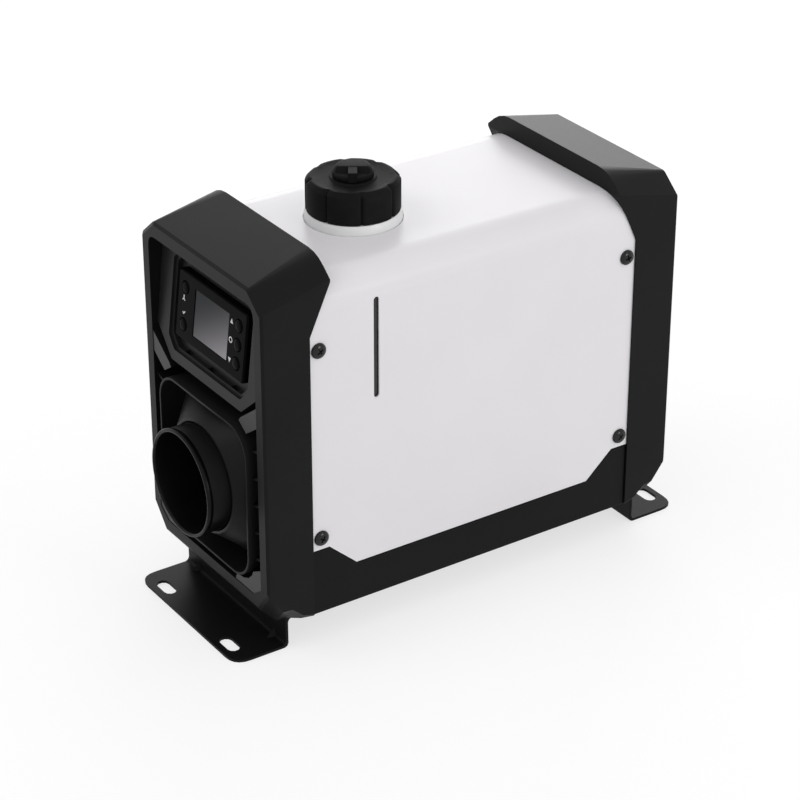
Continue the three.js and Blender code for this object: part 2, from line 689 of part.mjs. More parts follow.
const frontCover = () => {
  const wellOuter = prismY(recessOutline(RECESS_WALL), -HALF_LENGTH + 1, RECESS_BACK);
  const wellInner = prismY(recessOutline(0), -HALF_LENGTH - 5, RECESS_FLOOR);
  const ductHole = rodY(0, RECESS_FLOOR - 1, RECESS_BACK + 1, AIR_AXIS_HEIGHT,
    SPOUT_RADIUS + 2 * FIT_GAP, 32);
  const wireHole = box(-WIRE_HOLE_HALF_WIDTH, WIRE_HOLE_HALF_WIDTH, RECESS_FLOOR - 1, RECESS_BACK + 1,
    CONSOLE_HEIGHT - WIRE_HOLE_HALF_HEIGHT, CONSOLE_HEIGHT + WIRE_HOLE_HALF_HEIGHT);
  const consoleRoom = tilted(prismY(consoleOutline(-PLATE_CLEARANCE), -RECESS_DEPTH, 2 * RECESS_DEPTH));
  const bezelRoom = prismY(bezelOutline(PLATE_CLEARANCE), -CASE_LENGTH, RECESS_FLOOR);
  const bezelSkirt = prismY(bezelOutline(PLATE_CLEARANCE + PLATE_SHEET), -CASE_LENGTH, 0);
  const details = [
    ...Array.from({ length: LOUVRE_COUNT }, (_, i) => bothSides(louvre(i))),
    cut(cornerBlock(upperPlate()), consoleRoom),
    cut(cornerBlock(lowerPlate()), bezelRoom),
  ];
  const hollows = [cornerHollow(upperPlate()), cut(cornerHollow(lowerPlate()), bezelSkirt)];
  const mouth = cut(join(coverShell(), wellOuter), wellInner);
  return cut(join(mouth, ...details, ...coverFixings()), ductHole, wireHole, ...hollows);
};

// ---------------------------------------------------------------- rear cover

// Two columns of intake slots over the blower, moulded through the rear wall
const intakeSlots = () => {
  const rows = Math.floor(INTAKE_HEIGHT / INTAKE_PITCH);
  const columnWidth = INTAKE_WIDTH / 2 - 4;
  const slots = [];
  for (let row = 0; row < rows; row += 1) {
    const height = AIR_AXIS_HEIGHT + (row - (rows - 1) / 2) * INTAKE_PITCH;
    for (const side of [-1, 1]) {
      const middle = side * (INTAKE_WIDTH / 4);
      const outline = rectangle(middle - columnWidth / 2, height - INTAKE_SLOT / 2,
        middle + columnWidth / 2, height + INTAKE_SLOT / 2);
      slots.push(prismY(outline, HALF_LENGTH - 2 * COVER_WALL, HALF_LENGTH + 1));
    }
  }
  return slots;
};

const rearCover = () => {
  const shell = mirrored(join(coverShell(), ...coverFixings()), 'y');
  const cableHole = rodY(-COVER_HALF + 24, HALF_LENGTH - 8, HALF_LENGTH + 1,
    FACE_BOTTOM + 17, GROMMET_RADIUS + FIT_GAP, 20);
  return cut(shell, ...intakeSlots(), cableHole);
};

// Rubber sleeve where the supply lead enters
const cableGrommet = () => {
  const wall = HALF_LENGTH - COVER_WALL;
  const groove = GROMMET_RADIUS;
  const lip = GROMMET_RADIUS + 2.4;
  const profile = [
    [GROMMET_RADIUS - 3, wall - 3.4], [lip, wall - 3.4], [lip, wall - FIT_GAP], [groove, wall - FIT_GAP],
    [groove, HALF_LENGTH + FIT_GAP], [lip - 1, HALF_LENGTH + FIT_GAP], [lip - 2, HALF_LENGTH + 2.2],
    [GROMMET_RADIUS - 3, HALF_LENGTH + 2.2], [GROMMET_RADIUS - 3, wall - 3.4],
  ];
  return turnedY(profile, 12).translate(-COVER_HALF + 24, 0, FACE_BOTTOM + 17 - AIR_AXIS_HEIGHT);
};

// ---------------------------------------------------------------- white cover, tray and level window

const bodyCover = () => {
  const outer = prismY(panelSection(0, PANEL_BOTTOM), -PANEL_END, PANEL_END);
  const inner = prismY(panelSection(-PANEL_SHEET, PANEL_BOTTOM - 1), -PANEL_END - 1, PANEL_END + 1);
  const ends = prismX(belowPanelEdge(0), -COVER_WIDTH, COVER_WIDTH);
  const neckHole = rodZ(0, -NECK_PLACE, PANEL_TOP - 5, PANEL_TOP + 5, NECK_COLLAR_RADIUS + 2 * FIT_GAP, 32);
  const levelSlot = prismX(slotOutline(-SLOT_PLACE, SLOT_CENTRE_HEIGHT, SLOT_WIDTH, SLOT_LENGTH),
    PANEL_INNER - 1, PANEL_HALF + 1);
  const screwHoles = SCREW_HEIGHTS.flatMap((height) => [-SCREW_PLACE, SCREW_PLACE].map((place) => rodX(
    -COVER_HALF, COVER_HALF, place, height, SCREW_SHANK_RADIUS + FIT_GAP, 8)));
  return cut(outer, inner, ends, neckHole, levelSlot, ...screwHoles);
};

// Black tray: a floor and two sides whose upper flanges step in behind the white cover
const baseTray = () => {
  const outer = PANEL_HALF;
  const flange = PANEL_INNER - FIT_GAP;
  const high = PANEL_END_BOTTOM + TRAY_FLANGE_RISE;
  const below = prismX(belowPanelEdge(TRAY_SEAM), -outer, outer);
  const bandOutline = rounded(rectangle(-outer, FOOT_HEIGHT, outer, high), [1.5, 1.5, 0, 0], 2);
  const band = common(prismY(bandOutline, -TRAY_END, TRAY_END), below);
  const flanges = box(-flange, flange, -TRAY_END, TRAY_END, FOOT_HEIGHT + 5, high);
  const hollow = box(-flange + TRAY_SHEET, flange - TRAY_SHEET, -TRAY_END - 1, TRAY_END + 1,
    TRAY_FLOOR_TOP, high + 1);
  const notch = prismX(belowPanelEdge(-TRAY_FLANGE_RISE), -outer, outer);
  const sheet = common(join(band, flanges), notch);
  const tabs = [-1, 1].flatMap((end) => [-1, 1].map((side) => box(
    side > 0 ? flange - 6 : -flange - 1, side > 0 ? flange + 1 : -flange + 6,
    end > 0 ? SCREW_PLACE - 12 : -TRAY_END - 1, end > 0 ? TRAY_END + 1 : -SCREW_PLACE + 12,
    PANEL_END_BOTTOM, high + 1)));
  return cut(sheet, hollow, ...tabs, ...trayHoles());
};

// Holes in the tray floor for the foot screws, the exhaust and the combustion air
const trayHoles = () => {
  const screws = [-1, 1].flatMap(footScrewHoles);
  const pipes = [-1, 1].map((end) => rodZ(0, PEDESTAL_PLACE + (end * PIPE_SPACING) / 2, 0, 2 * FOOT_HEIGHT,
    PIPE_RADIUS + 2 * FIT_GAP, 24));
  return [...screws, ...pipes];
};

// Smoked strip behind the level slot
const levelWindow = () => {
  const outer = PANEL_INNER - FIT_GAP;
  return prismX(slotOutline(-SLOT_PLACE, SLOT_CENTRE_HEIGHT, WINDOW_WIDTH,
    SLOT_LENGTH + WINDOW_WIDTH - SLOT_WIDTH, 4), outer - WINDOW_THICKNESS, outer);
};

// ---------------------------------------------------------------- tilted console and controller

// From the console's own frame (x right, y into the case, z up its face) to the case
const tilted = (geometry) => geometry.clone()
  .rotateX(-TILT)
  .translate(0, -HALF_LENGTH + CONSOLE_SETBACK, CONSOLE_HEIGHT);

const pocketOutline = (offset) => {
  const half = POCKET_WIDTH / 2 + offset;
  const low = -POCKET_BELOW - offset;
  const high = POCKET_ABOVE + offset;
  return rounded([
    [-half + POCKET_CHAMFER, low], [half - POCKET_CHAMFER, low], [half, low + POCKET_CHAMFER],
    [half, high - POCKET_CHAMFER / 2], [half - POCKET_CHAMFER / 2, high],
    [-half + POCKET_CHAMFER / 2, high], [-half, high - POCKET_CHAMFER / 2], [-half, low + POCKET_CHAMFER],
  ], 3, 2);
};

const consoleOutline = (offset) => {
  const side = RECESS_HALF_WIDTH - FIT_GAP - offset;
  const half = CONSOLE_BOTTOM_WIDTH / 2 - offset / 2;
  const low = -CONSOLE_BELOW + offset;
  const high = RECESS_TOP - CONSOLE_HEIGHT + 6;
  const round = RECESS_CORNER_RADIUS;
  return rounded([
    [-half, low], [half, low], [side, low + CONSOLE_CHAMFER_HEIGHT], [side, high],
    [-side, high], [-side, low + CONSOLE_CHAMFER_HEIGHT],
  ], [2, 2, 2, round, round, 2], 3);
};

const controllerOutline = (offset) => {
  const half = CONTROLLER_WIDTH / 2 + offset;
  const rise = CONTROLLER_HEIGHT / 2 + offset;
  return rounded(rectangle(-half, -rise, half, rise), CONTROLLER_CORNER + offset, 3);
};

const displayConsole = () => {
  const deep = RECESS_DEPTH + 10;
  const block = prismY(consoleOutline(0), 0, deep);
  const hollow = prismY(consoleOutline(CONSOLE_WALL), CONSOLE_WALL, deep + 1);
  const pocketShell = prismY(pocketOutline(CONSOLE_WALL), 1, POCKET_DEPTH + CONSOLE_WALL);
  const pocket = prismY(pocketOutline(-POCKET_STEP_WIDTH), -1, POCKET_DEPTH);
  const step = prismY(pocketOutline(0), -1, POCKET_STEP_DEPTH);
  const opening = prismY(controllerOutline(FIT_GAP), -1, deep);
  const ledge = -POCKET_BELOW + POCKET_STEP_WIDTH;
  const notches = [-1, 0, 1].map((place) => box(
    place * POCKET_NOTCH_PITCH - POCKET_NOTCH_WIDTH / 2, place * POCKET_NOTCH_PITCH + POCKET_NOTCH_WIDTH / 2,
    POCKET_DEPTH / 2, POCKET_DEPTH + 1, ledge - POCKET_STEP_WIDTH - CONSOLE_WALL - 1, ledge + 1));
  const face = tilted(cut(join(cut(block, hollow), pocketShell), pocket, step, opening, ...notches));
  const room = prismY(recessOutline(-FIT_GAP), -HALF_LENGTH, RECESS_FLOOR - FIT_GAP);
  return common(face, room);
};

const buttonPlaces = () => [
  ['settings_button', -BUTTON_COLUMN, BUTTON_ROW],
  ['ok_button', -BUTTON_COLUMN, -BUTTON_ROW],
  ['up_button', BUTTON_COLUMN, BUTTON_ROW],
  ['power_button', BUTTON_COLUMN, 0],
  ['down_button', BUTTON_COLUMN, -BUTTON_ROW],
];

const controllerCase = () => {
  const front = 0.4;
  const chamfer = 1.2;
  const ring = (offset, y) => controllerOutline(offset).map(([x, z]) => [x, y, z]);
  const outer = loft([ring(-chamfer, front), ring(0, front + chamfer), ring(0, CONTROLLER_DEPTH)]);
  const inner = prismY(controllerOutline(-CONTROLLER_WALL), front + CONTROLLER_WALL, CONTROLLER_DEPTH + 1);
  const window = box(-SCREEN_WIDTH / 2 - FIT_GAP, SCREEN_WIDTH / 2 + FIT_GAP, -1, 5,
    -SCREEN_HEIGHT / 2 - FIT_GAP, SCREEN_HEIGHT / 2 + FIT_GAP);
  const holes = buttonPlaces().map(([, x, z]) => rodY(x, -1, 5, z, BUTTON_RADIUS + 2 * FIT_GAP, 12));
  const flange = cut(
    prismY(controllerOutline(2.5), POCKET_DEPTH + CONSOLE_WALL + FIT_GAP,
      POCKET_DEPTH + CONSOLE_WALL + FIT_GAP + 1.6),
    prismY(controllerOutline(-1), 0, CONTROLLER_DEPTH + 2),
  );
  return tilted(join(cut(outer, inner, window, ...holes), flange));
};

const screen = () => {
  const flange = 1.5;
  const glass = box(-SCREEN_WIDTH / 2, SCREEN_WIDTH / 2, 0.9, 0.4 + CONTROLLER_WALL + 1,
    -SCREEN_HEIGHT / 2, SCREEN_HEIGHT / 2);
  const back = box(-SCREEN_WIDTH / 2 - flange, SCREEN_WIDTH / 2 + flange,
    0.4 + CONTROLLER_WALL + FIT_GAP, 0.9 + SCREEN_THICKNESS + flange,
    -SCREEN_HEIGHT / 2 - flange, SCREEN_HEIGHT / 2 + flange);
  return tilted(join(glass, back));
};

const button = (x, z) => {
  const front = 0.4 - BUTTON_PROUD;
  const rim = BUTTON_RADIUS - 0.6;
  const back = BOARD_PLACE - FIT_GAP - BUTTON_TRAVEL;
  const flange = 0.4 + CONTROLLER_WALL + FIT_GAP;
  const profile = [
    [0, front], [rim - 1, front + 0.1], [BUTTON_RADIUS, front + 0.9],
    [BUTTON_RADIUS, flange], [BUTTON_RADIUS + 0.8, flange], [BUTTON_RADIUS + 0.8, back], [0, back],
  ];
  return tilted(turnedY(profile, 12).translate(x, 0, z - AIR_AXIS_HEIGHT));
};

const controllerBoard = () => {
  const inset = -CONTROLLER_WALL - FIT_GAP;
  return tilted(prismY(controllerOutline(inset), BOARD_PLACE, BOARD_PLACE + BOARD_THICKNESS));
};

const controllerBack = () => {
  const plate = prismY(controllerOutline(0), CONTROLLER_DEPTH + FIT_GAP, CONTROLLER_DEPTH + 2);
  const rim = cut(
    prismY(controllerOutline(-CONTROLLER_WALL - FIT_GAP), BOARD_PLACE + BOARD_THICKNESS + FIT_GAP,
      CONTROLLER_DEPTH + 1),
    prismY(controllerOutline(-CONTROLLER_WALL - FIT_GAP - 1.5), 0, CONTROLLER_DEPTH + FIT_GAP),
  );
  return tilted(join(plate, rim));
};

// ---------------------------------------------------------------- duct bezel, spout and duct

const bezelOutline = (offset) => {
  const half = BEZEL_HALF_WIDTH + offset;
  return rounded(rectangle(
    -half, AIR_AXIS_HEIGHT - half, half, AIR_AXIS_HEIGHT + half,
  ), BEZEL_CORNER_RADIUS + offset, 5);
};

// The point of an outline that lies in a direction from the air axis
const radiusTowards = (outline, angle) => {
  const direction = [Math.cos(angle), Math.sin(angle)];
  let reach = 0;
  outline.forEach(([x0, z0], i) => {
    const [x1, z1] = outline[(i + 1) % outline.length];
    const edge = [x1 - x0, z1 - z0];
    const start = [x0, z0 - AIR_AXIS_HEIGHT];
    const cross = direction[0] * edge[1] - direction[1] * edge[0];
    const along = (start[0] * direction[1] - start[1] * direction[0]) / cross;
    const distance = (start[0] * edge[1] - start[1] * edge[0]) / cross;
    if (Math.abs(cross) > 1e-9 && along >= 0 && along <= 1 && distance > reach) {
      reach = distance;
    }
  });
  return reach;
};

// Square-to-round hood: from the bezel's wall down in the moat to a round rim at the spout
const hood = (offset) => {
  const steps = 28;
  const foot = bezelOutline(-BEZEL_WALL + 0.5);
  const rim = SPOUT_RADIUS + 2 * FIT_GAP + HOOD_RIM;
  const ring = (y, radiusAt) => Array.from({ length: steps }, (_, i) => {
    const angle = (2 * Math.PI * (i + 0.5)) / steps;
    const radius = radiusAt(angle);
    return [radius * Math.cos(angle), y + offset, AIR_AXIS_HEIGHT + radius * Math.sin(angle)];
  });
  const depth = -HALF_LENGTH + HOOD_FOOT_DEPTH;
  return loft([
    ring(-HALF_LENGTH - HOOD_REACH, () => rim),
    ring(-HALF_LENGTH - HOOD_REACH + 1.2, () => rim + 0.8),
    ring(depth, (angle) => radiusTowards(foot, angle)),
    ring(depth + HOOD_WALL, (angle) => radiusTowards(foot, angle)),
  ]);
};

const ductBezel = () => {
  const back = RECESS_FLOOR - FIT_GAP;
  const lip = -HALF_LENGTH - BEZEL_LIP_REACH;
  const walls = cut(prismY(bezelOutline(0), lip, back), prismY(bezelOutline(-BEZEL_WALL), lip - 1, back + 1));
  const bore = rodY(0, -HALF_LENGTH - 2 * SPOUT_REACH, 0, AIR_AXIS_HEIGHT, SPOUT_RADIUS + 2 * FIT_GAP, 36);
  const cone = cut(hood(0), hood(HOOD_WALL), bore);
  const behind = box(-COVER_WIDTH, COVER_WIDTH, back, 0, 0, COVER_EDGE_TOP);
  return cut(join(walls, cone), behind);
};

const outletSpout = () => {
  const outer = SPOUT_RADIUS;
  const bead = SPOUT_RADIUS + SPOUT_BEAD_HEIGHT;
  const inner = SPOUT_RADIUS - SPOUT_WALL;
  return turnedY([
    [inner + 0.8, SPOUT_FRONT], [bead - 0.6, SPOUT_FRONT], [bead, SPOUT_FRONT + 0.6],
    [bead, SPOUT_FRONT + SPOUT_BEAD_LENGTH], [outer - 0.3, SPOUT_FRONT + SPOUT_BEAD_LENGTH + 0.6],
    [outer, -HALF_LENGTH], [outer, SPOUT_BACK], [inner, SPOUT_BACK], [inner, SPOUT_FRONT + 1.6],
    [inner + 0.8, SPOUT_FRONT],
  ], 32);
};

// Duct that leads the warm air from the heater core to the spout
const airDuct = () => {
  const start = RECESS_BACK + FIT_GAP;
  const end = -CORE_FRONT - FIT_GAP;
  const wall = 2;
  const flange = SPOUT_RADIUS + 8;
  const seat = SPOUT_RADIUS + FIT_GAP;
  const rear = CORE_HALF_WIDTH - 6;
  return turnedY([
    [seat, start], [flange, start], [flange, start + wall], [seat + wall, start + wall],
    [seat + wall, SPOUT_BACK + 1], [rear, end], [rear - wall, end], [seat, SPOUT_BACK + 1], [seat, start],
  ], 32);
};

// ---------------------------------------------------------------- fuel tank, its shelf and the cap

const fuelTank = () => {
  const outline = (inset) => rounded(rectangle(
    -TANK_HALF_WIDTH + inset, -TANK_FRONT + inset, TANK_HALF_WIDTH - inset, TANK_REAR - inset,
  ), TANK_CORNER_RADIUS - inset, 4);
  const ring = (inset, z) => outline(inset).map(([x, y]) => [x, y, z]);
  const ease = 5;
  const body = (wall) => common(
    loft([
      ring(wall + ease, TANK_BOTTOM + wall),
      ring(wall, TANK_BOTTOM + wall + ease),
      ring(wall, TANK_TOP - wall),
    ]),
    prismY(panelSection(-PANEL_SHEET - FIT_GAP - wall, TANK_BOTTOM), -HALF_LENGTH, HALF_LENGTH),
  );
  const collar = turnedZ([
    [0, TANK_TOP - 2], [NECK_COLLAR_RADIUS, TANK_TOP - 2], [NECK_COLLAR_RADIUS, PANEL_TOP + NECK_RISE / 2],
    [NECK_COLLAR_RADIUS - 1.4, PANEL_TOP + NECK_RISE], [NECK_RADIUS, PANEL_TOP + NECK_RISE],
    [NECK_RADIUS, NECK_TOP], [0, NECK_TOP],
  ], 28).translate(0, -NECK_PLACE, 0);
  const bore = rodZ(0, -NECK_PLACE, TANK_TOP - 2 * TANK_WALL, NECK_TOP + 1, NECK_BORE_RADIUS, 24);
  const outlet = rodZ(...fuelOutlet(), TANK_BOTTOM - 9, TANK_BOTTOM + 1, HOSE_RADIUS + 1, 10);
  return cut(join(body(0), collar, outlet), body(TANK_WALL), bore);
};

const fuelOutlet = () => [-TANK_HALF_WIDTH + 22, TANK_REAR - 14];

// Bent sheet shelf that carries the tank over the heater core
const tankShelf = () => {
  const top = TANK_BOTTOM - FIT_GAP;
  const front = -SHELF_REACH;
  const rear = SHELF_REACH;
  const foot = TRAY_FLOOR_TOP + FIT_GAP;
  const legOuter = PANEL_INNER - 2 * FIT_GAP - WINDOW_THICKNESS;
  const plate = box(-legOuter, legOuter, front, rear, top - SHELF_SHEET, top);
  const leg = (x0, x1) => box(x0, x1, front, rear, foot, top);
  const sole = (x0, x1) => box(x0, x1, front, rear, foot, foot + SHELF_SHEET);
  const window = prismX(rounded(rectangle(front + 14, foot + 16, rear - 14, top - 18), 12, 3),
    -COVER_WIDTH, COVER_WIDTH);
  const right = join(leg(legOuter - SHELF_SHEET, legOuter), sole(legOuter - 12, legOuter));
  return cut(join(plate, bothSides(right)), window);
};

// Circle with a narrow grip notch between every two lobes
const lobed = (radius, notch) => Array.from({ length: CAP_LOBES }, (_, lobe) => {
  const places = [[0, 0], [0.37, 0], [0.5, notch], [0.63, 0]];
  return places.map(([share, depth]) => {
    const angle = (2 * Math.PI * (lobe + share)) / CAP_LOBES + CAP_NOTCH_TURN;
    const reach = radius - depth;
    return [reach * Math.cos(angle), reach * Math.sin(angle) - NECK_PLACE];
  });
}).flat();

const fuelCap = () => {
  const ring = (inset, z) => lobed(CAP_RADIUS - inset, CAP_NOTCH_DEPTH).map(([x, y]) => [x, y, z]);
  const outer = loft([
    ring(1, CAP_BOTTOM), ring(0, CAP_BOTTOM + 1.5), ring(0, CAP_TOP - 3.2),
    ring(1.2, CAP_TOP - 1.2), ring(3.6, CAP_TOP),
  ]);
  const inner = rodZ(0, -NECK_PLACE, CAP_BOTTOM - 1, CAP_TOP - CAP_ROOF, NECK_RADIUS + 2 * FIT_GAP, 24);
  const vent = rodZ(0, -NECK_PLACE, CAP_BOTTOM, CAP_TOP + 1, VENT_RADIUS / 3 + FIT_GAP, 12);
  return cut(outer, inner, vent);
};

const capGasket = () => rodZ(0, -NECK_PLACE, CAP_TOP - CAP_ROOF - CAP_GASKET - FIT_GAP,
  CAP_TOP - CAP_ROOF - FIT_GAP, NECK_RADIUS, 24);

// Breather on the cap: a round base with a half-round grip and a pointer
const capVent = () => {
  const base = turnedZ([
    [0, CAP_TOP + FIT_GAP], [VENT_RADIUS, CAP_TOP + FIT_GAP], [VENT_RADIUS, CAP_TOP + VENT_HEIGHT - 0.8],
    [VENT_RADIUS - 0.8, CAP_TOP + VENT_HEIGHT], [0, CAP_TOP + VENT_HEIGHT],
  ], 24).translate(0, -NECK_PLACE, 0);
  const stem = rodZ(0, -NECK_PLACE, CAP_TOP - CAP_ROOF + FIT_GAP, CAP_TOP + 2, VENT_RADIUS / 3, 12);
  const reach = VENT_RADIUS - VENT_GRIP_STEP;
  const grip = Array.from({ length: 13 }, (_, i) => {
    const angle = (Math.PI * i) / 12;
    return [reach * Math.cos(angle), reach * Math.sin(angle)];
  });
  const pointer = rectangle(-VENT_POINTER_WIDTH / 2, -reach, VENT_POINTER_WIDTH / 2, VENT_POINTER_WIDTH / 2);
  const top = CAP_TOP + VENT_HEIGHT + VENT_GRIP_HEIGHT;
  const turn = (outline) => prismZ(outline, CAP_TOP + VENT_HEIGHT - 1, top)
    .rotateZ(THREE.MathUtils.degToRad(VENT_TURN))
    .translate(0, -NECK_PLACE, 0);
  return join(base, stem, turn(grip), turn(pointer));
};

// ---------------------------------------------------------------- heater core

const coreOutline = (offset) => {
  const width = CORE_HALF_WIDTH + offset;
  const height = CORE_HALF_HEIGHT + offset;
  return rounded(rectangle(-width, AIR_AXIS_HEIGHT - height, width, AIR_AXIS_HEIGHT + height),
    CORE_CORNER_RADIUS + offset, 5);
};

const coreShell = (upper) => {
  const outer = prismY(coreOutline(0), -CORE_FRONT, CORE_REAR);
  const inner = prismY(coreOutline(-CORE_SHELL), -CORE_FRONT + CORE_SHELL, CORE_REAR + 1);
  const mouth = rodY(0, -CORE_FRONT - 1, -CORE_FRONT + CORE_SHELL + 1, AIR_AXIS_HEIGHT,
    CORE_HALF_WIDTH - 8, 36);
  const pedestal = box(-PEDESTAL_WIDTH / 2 - FIT_GAP, PEDESTAL_WIDTH / 2 + FIT_GAP,
    PEDESTAL_PLACE - PEDESTAL_LENGTH / 2 - FIT_GAP, PEDESTAL_PLACE + PEDESTAL_LENGTH / 2 + FIT_GAP,
    0, AIR_AXIS_HEIGHT - EXCHANGER_RADIUS);
  const split = AIR_AXIS_HEIGHT;
  const [low, high] = upper ? [0, split + FIT_GAP / 2] : [split - FIT_GAP / 2, 2 * split];
  const away = box(-COVER_WIDTH, COVER_WIDTH, -CASE_LENGTH, CASE_LENGTH, low, high);
  return cut(outer, inner, mouth, pedestal, away);
};

// Finned die-cast heat exchanger with its mounting pedestal
const heatExchanger = () => {
  const count = EXCHANGER_FINS;
  const half = EXCHANGER_FIN_THICKNESS / 2;
  const room = finRoom();
  const outline = Array.from({ length: count }, (_, i) => {
    const angle = (2 * Math.PI * (i + 0.5)) / count;
    const tip = Math.min(EXCHANGER_RADIUS + EXCHANGER_FIN_REACH + 6, radiusTowards(room, angle));
    const across = [-Math.sin(angle), Math.cos(angle)];
    const along = [Math.cos(angle), Math.sin(angle)];
    const corner = (radius, side) => [
      radius * along[0] + side * across[0],
      AIR_AXIS_HEIGHT + radius * along[1] + side * across[1],
    ];
    return [corner(EXCHANGER_RADIUS, -half), corner(tip, -half * 0.7), corner(tip, half * 0.7),
      corner(EXCHANGER_RADIUS, half)];
  }).flat();
  const fins = prismY(outline, -EXCHANGER_FRONT + 10, EXCHANGER_BACK - 8);
  const core = turnedY([
    [0, -EXCHANGER_FRONT], [EXCHANGER_RADIUS - 12, -EXCHANGER_FRONT],
    [EXCHANGER_RADIUS, -EXCHANGER_FRONT + 12], [EXCHANGER_RADIUS, EXCHANGER_BACK - 5],
    [BURNER_FLANGE_RADIUS, EXCHANGER_BACK - 5],
    [BURNER_FLANGE_RADIUS, EXCHANGER_BACK], [0, EXCHANGER_BACK],
  ], 20);
  const inner = EXCHANGER_RADIUS - EXCHANGER_WALL;
  const chamber = turnedY([
    [0, -EXCHANGER_FRONT + EXCHANGER_WALL], [inner - 10, -EXCHANGER_FRONT + EXCHANGER_WALL],
    [inner, -EXCHANGER_FRONT + EXCHANGER_WALL + 10], [inner, EXCHANGER_BACK + 1], [0, EXCHANGER_BACK + 1],
  ], 20);
  const low = TRAY_FLOOR_TOP + GASKET_THICKNESS + 2 * FIT_GAP;
  const top = AIR_AXIS_HEIGHT - EXCHANGER_RADIUS + 6;
  const pedestal = box(-PEDESTAL_WIDTH / 2, PEDESTAL_WIDTH / 2, PEDESTAL_PLACE - PEDESTAL_LENGTH / 2,
    PEDESTAL_PLACE + PEDESTAL_LENGTH / 2, low, top);
  const ports = [-1, 1].map((end) => rodZ(0, PEDESTAL_PLACE + (end * PIPE_SPACING) / 2, low - 1,
    AIR_AXIS_HEIGHT - inner + 2, PIPE_RADIUS - PIPE_WALL, 12));
  const trimmed = common(pedestal, box(-COVER_WIDTH, COVER_WIDTH, -CASE_LENGTH, EXCHANGER_BACK,
    0, AIR_AXIS_HEIGHT));
  const sole = box(-PEDESTAL_WIDTH / 2, PEDESTAL_WIDTH / 2, PEDESTAL_PLACE - PEDESTAL_LENGTH / 2,
    PEDESTAL_PLACE + PEDESTAL_LENGTH / 2, low, low + 6);
  return cut(join(fins, core, trimmed, sole), chamber, ...ports);
};

const finRoom = () => coreOutline(-CORE_SHELL - 1.2);

const baseGasket = () => {
  const low = TRAY_FLOOR_TOP + FIT_GAP;
  const outline = rectangle(-PEDESTAL_WIDTH / 2, PEDESTAL_PLACE - PEDESTAL_LENGTH / 2,
    PEDESTAL_WIDTH / 2, PEDESTAL_PLACE + PEDESTAL_LENGTH / 2);
  const holes = [-1, 1].map((end) => circle(0, PEDESTAL_PLACE + (end * PIPE_SPACING) / 2,
    PIPE_RADIUS + 2 * FIT_GAP, 20));
  return prismZ(rounded(outline, 6, 3), low, low + GASKET_THICKNESS, holes);
};

// Short pipe that drops through the tray; the exhaust and the combustion air each have one
const basePipe = (end) => {
  const top = TRAY_FLOOR_TOP + GASKET_THICKNESS + FIT_GAP;
  const low = FOOT_HEIGHT - PIPE_DROP;
  const inner = PIPE_RADIUS - PIPE_WALL;
  return turnedZ([
    [inner, low], [PIPE_RADIUS, low], [PIPE_RADIUS, low + 4], [PIPE_RADIUS + 0.5, low + 5],
    [PIPE_RADIUS, low + 6], [PIPE_RADIUS, top], [inner, top], [inner, low],
  ], 14).translate(0, PEDESTAL_PLACE + (end * PIPE_SPACING) / 2, 0);
};

// Perforated burner tube on its flange
const burner = () => {
  const front = -EXCHANGER_FRONT + 30;
  const inner = BURNER_RADIUS - BURNER_WALL;
  const start = EXCHANGER_BACK + FIT_GAP;
  const tube = turnedY([
    [inner, front], [BURNER_RADIUS, front], [BURNER_RADIUS, start], [BURNER_FLANGE_RADIUS, start],
    [BURNER_FLANGE_RADIUS, BURNER_BACK], [10, BURNER_BACK], [10, start], [inner, start - 2],
    [inner, front],
  ], 20);
  const holes = Array.from({ length: 3 }, (_, i) => {
    const angle = (Math.PI * i) / 3;
    const drill = prismX(circle(start - 22, 0, 2.4, 6), -BURNER_RADIUS - 3, BURNER_RADIUS + 3);
    return drill.rotateY(angle).translate(0, 0, AIR_AXIS_HEIGHT);
  });
  const plugHole = rodY(GLOW_PLUG_PLACE, start - 4, BURNER_BACK + 1, AIR_AXIS_HEIGHT, 3 + FIT_GAP, 12);
  return cut(tube, ...holes, plugHole);
};

const glowPlug = () => turnedY([
  [0, EXCHANGER_BACK - 22], [1.6, EXCHANGER_BACK - 20], [1.6, EXCHANGER_BACK - 6],
  [3, EXCHANGER_BACK - 4], [3, BURNER_BACK + FIT_GAP], [4.6, BURNER_BACK + FIT_GAP],
  [4.6, BURNER_BACK + 4], [0, BURNER_BACK + 4],
], 12).translate(GLOW_PLUG_PLACE, 0, 0);

// Scroll housing between burner and motor, round the combustion-air impeller
const scrollHousing = () => {
  const start = BURNER_BACK + FIT_GAP;
  const outer = BURNER_FLANGE_RADIUS;
  const inner = outer - SCROLL_WALL;
  const throat = 20;
  return turnedY([
    [throat, start], [outer, start], [outer, SCROLL_BACK], [SHAFT_RADIUS + FIT_GAP, SCROLL_BACK],
    [SHAFT_RADIUS + FIT_GAP, SCROLL_BACK - SCROLL_WALL], [inner, SCROLL_BACK - SCROLL_WALL],
    [inner, start + SCROLL_WALL], [throat, start + SCROLL_WALL], [throat, start],
  ], 20);
};

// Radial wheel that feeds the flame, on the motor shaft
const combustionImpeller = () => {
  const back = SCROLL_BACK - SCROLL_WALL - 1.2;
  const front = back - IMPELLER_LENGTH;
  const bore = SHAFT_RADIUS + FIT_GAP;
  const disc = turnedY([
    [bore, back - 2], [bore, back], [IMPELLER_RADIUS, back], [IMPELLER_RADIUS, back - 1.6],
    [bore + 4, back - 1.6], [bore + 3, front], [bore, front], [bore, back - 2],
  ], 16);
  const blades = Array.from({ length: IMPELLER_BLADES }, (_, i) => {
    const blade = prismY(rectangle(IMPELLER_RADIUS - IMPELLER_BLADE_REACH, -0.6, IMPELLER_RADIUS - 0.4, 0.6),
      front, back - 1);
    return blade.rotateY((2 * Math.PI * i) / IMPELLER_BLADES).translate(0, 0, AIR_AXIS_HEIGHT);
  });
  return join(disc, ...blades);
};

